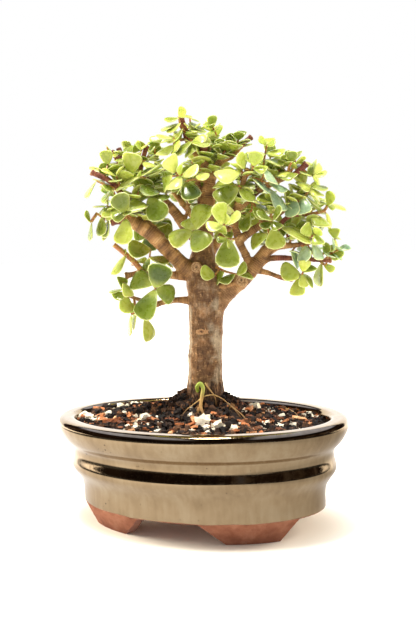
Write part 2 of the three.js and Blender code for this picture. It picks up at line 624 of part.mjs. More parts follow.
// Maps a point at the radius POT_HALF_LENGTH - inset on a turned shape to the oval that lies
// that far inside the pot's rim, all the way round
function toOval(point) {
  const inset = POT_HALF_LENGTH - Math.hypot(point.x, point.y);
  const angle = Math.atan2(point.y, point.x);
  const along = Math.max(POT_HALF_LENGTH - inset, 0);
  const across = Math.max(POT_HALF_WIDTH - inset, 0);
  const centre = Math.min(along / (POT_HALF_LENGTH - POT_HALF_WIDTH), 1);
  return new THREE.Vector3(along * Math.cos(angle), across * centre * Math.sin(angle), point.z);
}

function turnedOval(profile, segments) {
  const points = profile.map(([inset, height]) => new THREE.Vector2(POT_HALF_LENGTH - inset, height));
  const geometry = new THREE.LatheGeometry(points, segments);
  geometry.rotateX(Math.PI / 2);
  return solid(moveVertices(geometry, toOval));
}

function ovalPoint(inset, angle, height) {
  return new THREE.Vector3(
    (POT_HALF_LENGTH - inset) * Math.cos(angle),
    (POT_HALF_WIDTH - inset) * Math.sin(angle),
    height,
  );
}

// One of the four feet: a stretch of the wall's oval that leans in and whose ends slant
function foot(side, end) {
  const geometry = new THREE.BoxGeometry(1, 1, 1, 8, 1, 1);
  const degrees = THREE.MathUtils.degToRad;
  moveVertices(geometry, (point) => {
    const lower = 0.5 - point.z;
    const start = FOOT_START + FOOT_CHAMFER * lower;
    const stop = FOOT_END - FOOT_INNER_CHAMFER * lower;
    const angle = degrees(THREE.MathUtils.lerp(start, stop, point.x + 0.5));
    const inset = POT_PROFILE[0][0] + FOOT_LEAN * lower + (0.5 - point.y) * FOOT_DEPTH;
    const corner = ovalPoint(inset, angle, (1 - lower) * (FOOT_HEIGHT + FOOT_JOIN));
    return new THREE.Vector3(corner.x * side, corner.y * end, corner.z);
  });
  return solid(geometry);
}

function cylinderUp(radius, from, to, x) {
  const geometry = new THREE.CylinderGeometry(radius, radius, to - from, 20);
  geometry.rotateX(Math.PI / 2);
  geometry.translate(x, 0, (from + to) / 2);
  return solid(geometry);
}

function box(width, depth, height, x, y, z) {
  const geometry = new THREE.BoxGeometry(width, depth, height);
  geometry.translate(x, y, z);
  return solid(geometry);
}

function potSolid() {
  const profile = [[POT_HALF_LENGTH, FOOT_HEIGHT], ...POT_PROFILE, [POT_HALF_LENGTH, POT_FLOOR]];
  let body = turnedOval(profile, POT_SIDES);
  for (const side of [-1, 1]) {
    for (const end of [-1, 1]) {
      body = body.add(foot(side, end));
    }
    body = body.subtract(cylinderUp(DRAIN_HOLE_RADIUS, 0, POT_FLOOR + 1, side * DRAIN_HOLE_X));
  }
  return body;
}

// A square of plastic mesh over a drain hole
function screenSolid(x) {
  const height = POT_FLOOR + GAP + SCREEN_THICKNESS / 2;
  let body = box(SCREEN_SIDE, SCREEN_SIDE, SCREEN_THICKNESS, x, 0, height);
  const pitch = (SCREEN_SIDE - SCREEN_BAR) / SCREEN_HOLES;
  const hole = pitch - SCREEN_BAR;
  const middle = (SCREEN_HOLES - 1) / 2;
  for (let i = 0; i < SCREEN_HOLES; i += 1) {
    for (let j = 0; j < SCREEN_HOLES; j += 1) {
      const cx = x + (i - middle) * pitch;
      const cy = (j - middle) * pitch;
      body = body.subtract(box(hole, hole, 3 * SCREEN_THICKNESS, cx, cy, height));
    }
  }
  return body;
}

// Height of the soil: a low mound round the trunk, with small lumps
function soilHeight(x, y) {
  const oval = Math.hypot(x / (POT_HALF_LENGTH - SOIL_INSET), y / (POT_HALF_WIDTH - SOIL_INSET));
  const lumps = Math.sin(x * 0.33 + 1) * Math.cos(y * 0.41) + 0.6 * Math.sin(x * 0.71 - y * 0.53);
  const free = Math.max(0, 1 - oval ** 6);
  const mound = SOIL_MOUND * Math.exp(-((oval / MOUND_SPREAD) ** 2));
  return SOIL_EDGE_HEIGHT + mound + SOIL_LUMPS * lumps * free;
}

// The soil fills the pot to a few millimetres under the rim, clear of the wall by the gap
function soilSolid() {
  const top = [];
  const reach = POT_HALF_LENGTH - SOIL_INSET;
  for (let i = 0; i < SOIL_RINGS; i += 1) {
    top.push(new THREE.Vector2(reach * (i / SOIL_RINGS), SOIL_EDGE_HEIGHT + 1));
  }
  const side = [
    [SOIL_INSET, SOIL_EDGE_HEIGHT],
    ...INNER_WALL.slice(1).map(([inset, height]) => [inset + GAP, height + GAP]),
    [POT_HALF_LENGTH, POT_FLOOR + GAP],
  ];
  const rim = side.map(([inset, height]) => new THREE.Vector2(POT_HALF_LENGTH - inset, height));
  const geometry = new THREE.LatheGeometry([...top, ...rim], POT_SIDES);
  geometry.rotateX(Math.PI / 2);
  const shrink = (POT_HALF_WIDTH - SOIL_INSET) / reach;
  moveVertices(geometry, (point) => {
    if (point.z <= SOIL_EDGE_HEIGHT) {
      return toOval(point);
    }
    const y = point.y * shrink;
    return new THREE.Vector3(point.x, y, soilHeight(point.x, y));
  });
  return solid(geometry);
}

// A fleshy leaf: a flattened body, widest past the middle, with a round tip that curls back
function leafSolid(base, along, facing, extra = 0) {
  const length = along.length() + LEAF_ROOT;
  const way = along.clone().normalize();
  const start = base.clone().addScaledVector(way, -LEAF_ROOT);
  const across = facing.clone().cross(way).normalize();
  const up = way.clone().cross(across);
  const halfWidth = (LEAF_WIDTH * length) / 2;
  const halfThickness = (LEAF_THICKNESS * length) / 2;
  const geometry = new THREE.SphereGeometry(1, 3, 3, -Math.PI / 2);
  moveVertices(geometry, (point) => {
    const s = ((1 - point.y) / 2) ** 0.75;
    const swell = 1.25 * s ** 0.7 * Math.sqrt(1 - s ** 5) / Math.sqrt(1 - point.y ** 2 || 1);
    const x = (point.x / EDGE_OF_SECTION) * swell * (halfWidth + extra);
    const z = point.z * swell * (halfThickness + extra) - LEAF_CURL * length * s * s;
    return start.clone()
      .addScaledVector(way, s * (length + extra))
      .addScaledVector(across, x)
      .addScaledVector(up, z);
  });
  return solid(geometry);
}

// The way a blade faces: as near to the front as its own direction lets it, then turned up
function facingOf(along, degrees) {
  const way = along.clone().normalize();
  const front = new THREE.Vector3(0, -1, 0);
  const flat = front.clone().addScaledVector(way, -front.dot(way)).normalize();
  const side = way.clone().cross(flat);
  const upward = side.z >= 0 ? side : side.negate();
  const angle = THREE.MathUtils.degToRad(degrees);
  return flat.multiplyScalar(Math.cos(angle)).addScaledVector(upward, Math.sin(angle));
}

function nearestOnStem(point, stem) {
  const { centres } = centreLine(stem, STEM_STEP);
  let best = centres[0];
  for (let i = 0; i + 1 < centres.length; i += 1) {
    const near = new THREE.Line3(centres[i], centres[i + 1])
      .closestPointToPoint(point, true, new THREE.Vector3());
    if (near.distanceTo(point) < best.distanceTo(point)) {
      best = near;
    }
  }
  return best;
}

// Evenly shared random numbers, the same on each run
function makeRandom(seed) {
  let state = seed;
  return () => {
    state = (state * 1664525 + 1013904223) % 4294967296;
    return state / 4294967296;
  };
}

// Opposite pairs up a stem, each pair turned a quarter from the last
function pairedLeaves(shoot, seed) {
  const random = makeRandom(seed);
  const curve = new THREE.CatmullRomCurve3(shoot.stem.map(vector));
  const leaves = [];
  for (let pair = 0; pair < shoot.pairs; pair += 1) {
    const t = (pair + 0.8) / shoot.pairs;
    const node = curve.getPoint(Math.min(t, 1));
    const up = curve.getTangent(Math.min(t, 1));
    const level = new THREE.Vector3(0, 0, 1).cross(up).normalize();
    const turn = (pair * Math.PI) / 2 + (random() - 0.5) * 0.7;
    const out = level.applyAxisAngle(up, turn);
    const splay = THREE.MathUtils.lerp(BACK_SPLAY[0], BACK_SPLAY[1], t);
    for (const side of [-1, 1]) {
      const length = shoot.leaf * (1 - 0.35 * t) * (0.85 + 0.3 * random());
      const lean = splay + (random() - 0.5) * 0.4;
      const along = up.clone().multiplyScalar(Math.cos(lean)).addScaledVector(out, side * Math.sin(lean));
      leaves.push({ base: node, along: along.multiplyScalar(length), up });
    }
  }
  return leaves;
}

function tracedLeaves(shoot) {
  return shoot.leaves.map(([x, y, z, dx, dy, dz, degrees]) => {
    const along = new THREE.Vector3(dx, dy, dz);
    return { base: new THREE.Vector3(x, y, z), along, degrees };
  });
}

function meeting(body, others) {
  const room = body.boundingBox();
  return others.filter((other) => {
    const taken = other.boundingBox();
    return room.min.every((low, i) => low < taken.max[i] && taken.min[i] < room.max[i]);
  });
}

function clear(body, others) {
  return meeting(body, others).every((other) => body.intersect(other).volume() < 1e-4);
}

function stemTube(shoot, extra = 0) {
  const last = shoot.stem.length - 1;
  const thick = shoot.radius ?? STEM_RADIUS;
  return tube(shoot.stem.map((point, i) => [...point, thick - 0.35 * (i / last)]), 4, STEM_STEP, extra);
}

// A leaf, with its twig where it stands off the stem, and the room that the two take up
function leafOnStem(shoot, leaf, shift) {
  const foot = nearestOnStem(leaf.base, shoot.stem);
  const tip = leaf.base.clone().add(leaf.along);
  const onTwig = foot.distanceTo(leaf.base) > LONGEST_LEAF_STALK;
  const base = onTwig ? leaf.base : foot;
  const along = tip.clone().sub(base);
  along.add(new THREE.Vector3(0, shift, 0)).setLength(tip.distanceTo(base));
  const facing = leaf.up ?? facingOf(along, leaf.degrees);
  const [body, room] = [0, GAP].map((extra) => {
    const blade = leafSolid(base, along, facing, extra);
    const ends = [foot, base].map((point) => [point.x, point.y, point.z, TWIG_RADIUS]);
    return onTwig ? blade.add(tube(ends, 3, 40, extra)) : blade;
  });
  return { body, room };
}

// Grows a shoot's leaves on its stem. A leaf that would touch a neighbour leans to the front
// or back instead. One that finds no room, or that a limb would cut off, isn't grown.
function growLeaves(shoot, stem, others, woodRoom) {
  let body = stem;
  const rooms = [];
  for (const leaf of shoot.grown) {
    for (const shift of TIP_SHIFTS) {
      const grown = leafOnStem(shoot, leaf, shift);
      const trimmed = grown.body.subtract(woodRoom);
      const longer = body.add(trimmed);
      const whole = trimmed.volume() > SMALLEST_WHOLE * grown.body.volume();
      if (whole && longer.decompose().length === 1 && clear(trimmed, others)) {
        body = longer;
        rooms.push(grown.room);
        break;
      }
    }
  }
  return { body, rooms };
}

// A grain of perlite or a chip of bark that lies half sunk in the soil
function grainSolid({ at: [x, y], size, turn, stone }, extra = 0) {
  const shape = stone ? [1, 0.8, 0.75] : [1, 0.45, 0.4];
  const [length, width, height] = shape.map((part) => part * size + extra);
  const geometry = new THREE.IcosahedronGeometry(1, 0);
  geometry.scale(length, width, height);
  geometry.rotateZ(turn);
  geometry.translate(x, y, soilHeight(x, y) + 0.3 * height);
  return solid(geometry);
}

const COLOURS = {
  glaze: [0x6b5a3c, 0.15, 0.55],
  screen: [0x20221f, 0.6, 0],
  soil: [0x33271d, 0.95, 0],
  bark: [0x8a6440, 0.85, 0],
  root: [0x7f9a3c, 0.6, 0],
  stone: [0xe9e6dc, 0.9, 0],
  chip: [0xb06a38, 0.9, 0],
};
const LEAF_TONES = [0x4f7a26, 0x6e9438, 0x8fb848, 0xc3d95e, 0x9dbb92];

function material([colour, roughness, metalness]) {
  return new THREE.MeshStandardMaterial({ color: colour, roughness, metalness });
}

function named(name, body, finish) {
  const whole = largest(solid(geometryOf(body)));
  const mesh = new THREE.Mesh(geometryOf(whole), material(finish));
  mesh.name = name;
  return mesh;
}

function woodSolid(extra) {
  return join(Object.values(LIMBS).map((points) => {
    const thick = points[0][3];
    const sides = thick > 10 ? 12 : thick > 3.5 ? 7 : 5;
    return tube(points, sides, 9, extra);
  }));
}

const wood = woodSolid(0);
const woodClearance = woodSolid(GAP);
const greenRoot = tube(GREEN_ROOT, 6, 2.4).subtract(woodClearance);
const greenRootClearance = tube(GREEN_ROOT, 6, 2.4, GAP);

const bonsai = new THREE.Group();
const tree = new THREE.Group();
tree.rotation.z = TREE_TURN;
bonsai.add(tree);

function turnedWithTree(body) {
  return body.rotate([0, 0, THREE.MathUtils.radToDeg(TREE_TURN)]);
}

let soil = soilSolid();
for (const buried of [woodClearance, greenRootClearance]) {
  soil = soil.subtract(turnedWithTree(buried));
}
const screenRoom = SCREEN_SIDE + 2 * GAP;
for (const side of [-1, 1]) {
  const roof = POT_FLOOR + 2 * GAP + SCREEN_THICKNESS;
  soil = soil.subtract(box(screenRoom, screenRoom, 2 * roof, side * DRAIN_HOLE_X, 0, 0));
}
for (const grain of GRAINS) {
  soil = soil.subtract(grainSolid(grain, 2 * GAP));
}

bonsai.add(named('pot', potSolid(), COLOURS.glaze));
bonsai.add(named('drain_screen_left', screenSolid(-DRAIN_HOLE_X), COLOURS.screen));
bonsai.add(named('drain_screen_right', screenSolid(DRAIN_HOLE_X), COLOURS.screen));
bonsai.add(named('soil', largest(soil), COLOURS.soil));
for (const grain of GRAINS) {
  bonsai.add(named(grain.name, grainSolid(grain), grain.stone ? COLOURS.stone : COLOURS.chip));
}
tree.add(named('trunk_and_branches', wood, COLOURS.bark));
tree.add(named('green_root', largest(greenRoot), COLOURS.root));

const shoots = [
  ...SHOOTS.map((shoot) => ({ ...shoot, grown: tracedLeaves(shoot) })),
  ...BACK_SHOOTS.map((shoot, i) => ({ ...shoot, grown: pairedLeaves(shoot, i + 1) })),
];
const stems = shoots.map((shoot) => largest(stemTube(shoot).subtract(woodClearance)));
const stemRooms = shoots.map((shoot) => stemTube(shoot, GAP));
const leafRooms = [];
shoots.forEach((shoot, i) => {
  const otherStems = stemRooms.filter((_, j) => j !== i);
  const { body, rooms } = growLeaves(shoot, stems[i], [...otherStems, ...leafRooms], woodClearance);
  leafRooms.push(...rooms);
  tree.add(named(`shoot_${shoot.name}`, body, [LEAF_TONES[shoot.tone], 0.45, 0]));
});

export default bonsai;
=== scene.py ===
"""The looks of a dwarf jade bonsai in an oval glazed pot, built around its CAD frame.

Lengths in the tables are millimetres. The pot's long axis is X and its foot stands at Z = 0. The
tree has a frame of its own, with X to the right of its front and Y away from its front, which is
the pot's frame turned by TREE_TURN.
"""

import math
import random

import bpy
import numpy as np
from mathutils import Euler, Matrix, Vector, noise


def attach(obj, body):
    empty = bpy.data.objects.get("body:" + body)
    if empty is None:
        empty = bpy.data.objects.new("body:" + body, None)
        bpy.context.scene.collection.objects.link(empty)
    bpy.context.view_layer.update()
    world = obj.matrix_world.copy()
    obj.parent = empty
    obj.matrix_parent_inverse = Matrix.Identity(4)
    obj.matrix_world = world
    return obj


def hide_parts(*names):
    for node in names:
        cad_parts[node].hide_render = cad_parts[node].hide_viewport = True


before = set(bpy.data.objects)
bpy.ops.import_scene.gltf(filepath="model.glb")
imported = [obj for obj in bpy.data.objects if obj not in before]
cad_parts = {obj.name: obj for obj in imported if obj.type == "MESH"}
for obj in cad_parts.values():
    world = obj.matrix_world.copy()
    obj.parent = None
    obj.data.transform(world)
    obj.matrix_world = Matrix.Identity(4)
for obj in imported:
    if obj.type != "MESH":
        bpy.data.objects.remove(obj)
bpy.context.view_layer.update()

MM = 0.001
TREE_TURN = 0.403
SOFT_STEP = {"interpolation_type": "SMOOTHSTEP"}

# Camera, fitted to the rim, the foot line and the feet
PHOTO_WIDTH, PHOTO_HEIGHT = 416, 624
FOCAL_PIXELS = 861.24
SENSOR_SIZE = 36
CAMERA_PLACE = (0.2338, -0.5263, 0.1813)
CAMERA_PITCH = 0.070                # radians down from level
CAMERA_ROLL = -0.034

# Pot
POT_HALF_LENGTH = 101.6
POT_HALF_WIDTH = 72.2
POT_SEGMENTS = 180
PROFILE_STEP = 1.1
FOOT_ANGLES = (25, 75)              # degrees round the pot from the end of its long axis
FOOT_CHAMFERS = (9, 12)             # degrees that each slanted end takes off the bottom
FOOT_LEAN = 6.5                     # how much further in a foot is at the bottom
FOOT_TOP = 14.3
DRAIN_HOLE_RADIUS = 7
DRAIN_HOLE_X = 38
DRAIN_BORE_DEPTH = 20
DRAIN_BORE_MIDDLE = 17
POT_BEVEL = 0.7
BEVELLED_EDGE = math.radians(42)
POT_EDGE = math.radians(50)         # what stays sharp when the pot is shaded smooth
# How far the outside of the pot lies inside the rim's widest line, and its height there
POT_OUTSIDE = [
    (16.1, 14.3), (16, 17), (16, 21), (15.8, 24.5), (15.2, 27.5), (13.9, 30.6), (11.9, 33.6),
    (9.9, 36.3), (8.7, 38.4), (8.4, 40), (8.6, 41.6), (9.1, 44), (9.6, 46.4), (9.85, 48.2),
    (9.9, 49.6), (9.6, 51.1), (8.7, 52.8), (7.2, 54.6), (5.4, 56.5), (3.8, 58.5), (2.4, 60.7),
    (1.2, 63), (0.35, 65.2), (0, 67), (0.1, 68.6), (0.5, 70.2), (1.2, 71.3), (2.2, 72),
    (3.6, 72.35), (6.2, 72.4), (8.6, 72.4), (10.4, 72.05), (11.5, 71.2), (12.2, 69.6),
    (12.6, 67.6), (13.4, 62), (14.4, 56), (15.6, 44), (20, 30), (27, 20.8),
]
FOOT_LINE_INSET = POT_OUTSIDE[0][0]
UNDERSIDE_INSETS = [18.7, 21.4, 24.1]

# Soil
SOIL_EDGE_HEIGHT = 66.5
SOIL_MOUND = 13.5
MOUND_SPREAD = 0.52
SOIL_LUMPS = 0.6
SOIL_INSET = 13.5
SOIL_SIDE = [(27.3, 21.1), (20.4, 30.3), (15.9, 44.3), (14.7, 56.3)]
SOIL_SEGMENTS = 220
SOIL_RINGS = 46
SOIL_COVERED = 0.97                 # how far out grains that are seen may lie, where 1 is the edge
CLOD_SIZE = 4
CLOD_HEIGHT = 0.9
BROKEN_EDGE = math.radians(35)      # what stays sharp on a grain
# Seeded grains: how many, the limits of their size, how high they lie in sizes, and their shade
GRAINS_REACH = 0.965
LOOSE_CRUMBS = (2400, (1.2, 3.9), 0.12, (0, 1))
LOOSE_PERLITE = (130, (1.2, 3.4), 0.3, (0.1, 0.9))
LOOSE_CHIPS = (340, (2.5, 7.5), 0.35, (0.1, 0.9))
HEAP_CRUMBS = 1300                  # piled against the trunk
HEAP_HEIGHTS = (3.5, 9)             # in front of the trunk and behind it
HEAP_REACH = 17
FIBRE_LENGTH = 1.7
ROOT_CLEARANCE = 3
TRUNK_X = 5                         # the middle of the trunk's foot, in the tree's frame
TRUNK_FOOT_RADIUS = 15
MM_PER_PIXEL = 0.68                 # at the soil's middle
CAMERA_TO_SOIL = (420, 760, 0.5)    # nearest, farthest and step of the search for a pixel's place

# Grains that the photograph shows: column and row of the pixel, and size in pixels
PERLITE_SEEN = [
    (146, 420, 9), (161, 426, 5), (158, 420, 5), (138, 418, 5), (138, 423, 5), (136, 426, 4),
    (126, 414, 6), (129, 406, 5), (139, 405, 5), (147, 404, 4), (112, 407, 5), (117, 408, 5),
    (109, 415, 6), (85, 416, 7), (93, 422, 6), (127, 429, 6), (136, 430, 6), (145, 430, 5),
    (148, 427, 5), (186, 415, 5), (191, 417, 5), (203, 423.5, 11), (207, 430, 6), (218, 429, 9),
    (212.5, 417, 5), (179.5, 432.6, 4), (192, 432.6, 4), (230, 409, 7), (233.5, 409, 10),
    (255, 410, 9), (262, 413.5, 6), (234, 430, 6), (260, 401.5, 4), (271, 404, 5), (287, 409, 6),
    (296, 411, 6), (271, 415, 6), (268, 411, 5), (282, 418, 6), (266, 426, 6), (280, 424.5, 5),
    (294, 427, 6), (280, 429, 6), (308, 418, 8), (311, 416, 5), (264, 429, 5), (316, 417, 5),
    (119, 404, 8), (126, 403, 8), (135, 405, 8), (143, 402, 7), (110, 406, 7), (121, 408, 6),
    (84, 417, 8), (90, 419, 7),
]
BARK_SEEN = [
    (102, 409, 18), (112, 423.5, 17), (126, 421, 8), (131, 426, 7), (168.5, 413, 8),
    (176, 414, 10), (182, 407, 8), (171, 425, 8), (183, 428, 8), (197, 432, 8), (219, 409, 8),
    (161, 411, 7), (222, 418, 8), (261, 407, 8), (289, 413, 12), (252, 419, 8), (231, 415, 18),
    (256, 429, 8), (319, 419, 7), (319, 423.5, 7), (299, 421, 14), (248, 424, 10),
    (245, 405, 14),
]
# Clods of compost by the wall: place on the soil and size
CLODS = [
    (-80, 6, 7), (-76, 14, 8), (-70, 22, 7), (-63, 28, 6.5), (-78, -3, 6), (-72, 10, 6),
    (-55, 35, 6), (-46, 40, 6.5), (62, 31, 5), (72, 20, 6), (79, 6, 5), (50, 38, 5.5),
    (30, 46, 6), (8, 50, 6), (-20, 48, 5.5), (-82, -8, 5),
]
# The largest loose grains: name, place on the soil, half length, turn and whether it is a stone
LARGE_GRAINS = [
    ("perlite_grain_left", -62, -22, 3.2, 0.4, True),
    ("perlite_grain_front", -8, -46, 3, 1.9, True),
    ("perlite_grain_right", 46, -32, 2.8, 2.6, True),
    ("bark_chip_front", 24, -42, 4.2, 0.9, False),
]

# Tree
WOOD_VOXEL = 0.7
RING_SPACING = 1.3
NODE_SPACING = 9
TRUNK_GIRTH = 9                     # the radius from which wood is trunk
STEM_RADIUS = 0.95
THICK_STEMS = {"red_stem_right": 1.3, "olive_stem_left": 2}
STEM_TAPER = 0.35
TWIG_RADIUS = 0.65
LEAF_ROOT = 0.3
LEAF_FIELD = 0.88                   # of the way from a leaf's middle to its rim
LEAF_WIDTH = 0.95
LEAF_THICKNESS = 0.13
# How far a blade is cupped, how far it curls down and how far it waves, in its own lengths
LEAF_SHAPES = [(0.02, 0.08, 0.0), (0.14, 0.08, 0.01), (-0.1, 0.1, -0.01), (0.06, 0.16, 0.02)]
LONGEST_LEAF_STALK = 3.5
TIP_SHIFTS = [0, -3, 3, -6, 6]
TIP_MATCH = 1.6                     # how near the CAD leaf's tip has to be
# The tones by number: the material, its slot, and a leaf's own, its deepest and its palest colour
LEAF_TONES = [
    ("jade_leaf_grown_dark", "leaf_dark", "#5e7020", "#42561a", "#8a9a3c"),
    ("jade_leaf_grown_middle", "leaf_mid", "#869438", "#637228", "#aeb852"),
    ("jade_leaf_grown_light", "leaf_light", "#9eab46", "#798a30", "#c4cc62"),
    ("jade_leaf_grown_bright", "leaf_bright", "#b0c04e", "#8ea03c", "#d6de7e"),
    ("jade_leaf_grown_bluish", "leaf_blue", "#8fa882", "#688864", "#b8cca6"),
]
# Short leafy spurs that stand on the limbs: limb, the stretch of it that they stand on, how
# many they are, the length of their leaves and their tone
SPURS = [
    ("right_top", 0.25, 0.78, 5, 12, 1), ("right_upper", 0.3, 0.86, 6, 12, 1),
    ("right_fork", 0.3, 0.95, 6, 14, 2), ("right_riser", 0.5, 0.95, 5, 14, 3),
    ("top_leader", 0.1, 0.65, 7, 11, 2), ("pale_leader", 0.5, 1, 4, 14, 2),
    ("left_second", 0.4, 0.9, 6, 14, 1), ("left_upper", 0.4, 0.9, 5, 14, 2),
    ("left_main", 0.7, 0.95, 3, 13, 1), ("right_level", 0.5, 0.95, 3, 12, 4),
    ("right_main", 0.75, 1, 3, 12, 1), ("back_right", 0.4, 0.95, 4, 14, 1),
    ("back_left", 0.4, 0.95, 4, 14, 1), ("back_top", 0.3, 0.95, 5, 14, 2),
    ("back_low", 0.5, 0.95, 4, 14, 0), ("back_right_low", 0.4, 0.95, 4, 13, 1),
    ("back_left_low", 0.4, 0.95, 4, 13, 1),
]

# Studio, in metres. A lamp has its name, place in the tree's frame, size, power and colour.
SKY_FRONT, SKY_BACK = 0.22, 0.9
FLOOR_SIZE = 40
LAMPS_AIM = Vector((0, 0, 0.15))
LAMPS = [
    ("overhead", (-0.2, -0.2, 1.5), 0.35, 28, "#fffaf0"),
    ("front", (-0.6, -1.5, 0.7), 1.0, 3, "#fffaf4"),
    ("back_left", (-1.2, 0.45, 0.5), 0.8, 40, "#fff4dc"),
    ("back_right", (1.2, 0.45, 0.5), 0.8, 28, "#fff4dc"),
]

# Thin roots beside the green one: centre line points with the radius, in the tree's frame
THIN_ROOTS = [
    [(2.6, -16.8, 85.8, 0.4), (-2.5, -17.5, 82.1, 0.36), (-7.5, -18, 78.6, 0.32),
     (-12, -20, 73, 0.3)],
    [(2.7, -16.8, 86.3, 0.4), (6.5, -16.2, 87.2, 0.4), (11.1, -15.5, 87.2, 0.38),
     (16, -16.5, 84.8, 0.34), (21, -19, 80.8, 0.32), (25, -22, 76.8, 0.3), (28, -24, 73, 0.26)],
    [(5.2, -11, 95, 0.5), (5.8, -12.8, 93.8, 0.5), (8.2, -12.9, 90.4, 0.46), (10.2, -12.6, 87.4, 0.42),
     (11.6, -12.2, 84, 0.4), (12, -12, 79, 0.4)],
    [(20, -11, 75, 0.4), (21.7, -13.2, 78.6, 0.4), (26.1, -18.5, 76.4, 0.36),
     (30.2, -27, 73.4, 0.32), (33.9, -34.5, 69, 0.3)],
    [(60, 26, 65, 0.4), (61.1, 23.8, 68.6, 0.4), (64.6, 9, 70, 0.36), (68.3, -19.2, 68, 0.3)],
]
GREEN_ROOT = [
    (0.2, -9.6, 89, 1.2), (0, -14, 93.2, 1.25), (2, -15.8, 95.2, 1.3), (3.7, -16.2, 92.4, 1.25),
    (2.6, -17, 86.1, 1.15), (1.9, -19, 80.2, 1), (3.2, -21, 76.4, 0.95), (4.8, -23, 72.6, 0.9),
]
# Patches of the trunk's bark: middle in the tree's frame, half width and half height. The grey and
# orange ones are worn and newly bared bark. Those along the trunk's left and right sides are also
# painted highlight, where the sides catch the light.
WEATHERED_AND_HIGHLIGHT = [
    (13.4, -8, 124, 5, 10), (10.5, -10, 131, 3.5, 5), (-4, -4, 120, 3.5, 13), (-5, -4, 98, 4, 9),
    (14.7, -8, 101, 5, 7), (12, -10, 95, 5, 4), (14.2, -8, 111.4, 5, 1.3), (-4, -5, 141, 3.5, 7),
    (13, -9, 147, 4, 6), (9, 10, 118, 5, 10), (0, 10, 103, 4, 8), (13, 7, 140, 4, 7),
    (-6, -4, 108, 3.5, 14), (-5, -5, 131, 4, 12), (15.4, -6, 116, 4, 16),
    (3, 11, 134, 4, 5), (-5, 5, 152, 4, 5), (16, 4, 105, 4, 9),
]
FRESH_AND_HIGHLIGHT = [
    (4.1, -11.5, 122, 5, 4), (2, -11.5, 112, 6, 3), (5, -11.5, 141, 6, 6), (8, -11.5, 104, 4, 4),
    (-5, -7, 122, 4, 34), (8, 11.5, 128, 5, 5), (4, 11.5, 112, 5, 4), (16, 3, 126, 4, 4),
]
SCARS = [(3.7, -11.5, 128.7, 6, 2.6), (12, 8.5, 121, 5, 2)]
# How much of a young limb's end is red
RED_ENDS = {
    "left_upper": 20, "left_stub_low": 14, "left_stub_high": 16, "left_second": 12,
    "top_leader": 25, "top_stub": 10, "right_upper": 14, "right_level": 40, "right_top": 8,
    "right_main": 8, "red_stem": 40, "right_low_twig": 10, "left_main": 6, "back_top": 12,
    "back_left": 10, "back_right": 10, "back_right_low": 14, "back_left_low": 12,
}
# Limbs that end in a pruned face
PRUNED = [
    "left_main", "left_upper", "left_stub_low", "left_stub_high", "top_leader", "top_stub",
    "left_lower", "right_upper", "right_top", "right_riser", "bridge", "right_knot",
    "trunk_knot", "right_main", "right_level",
]
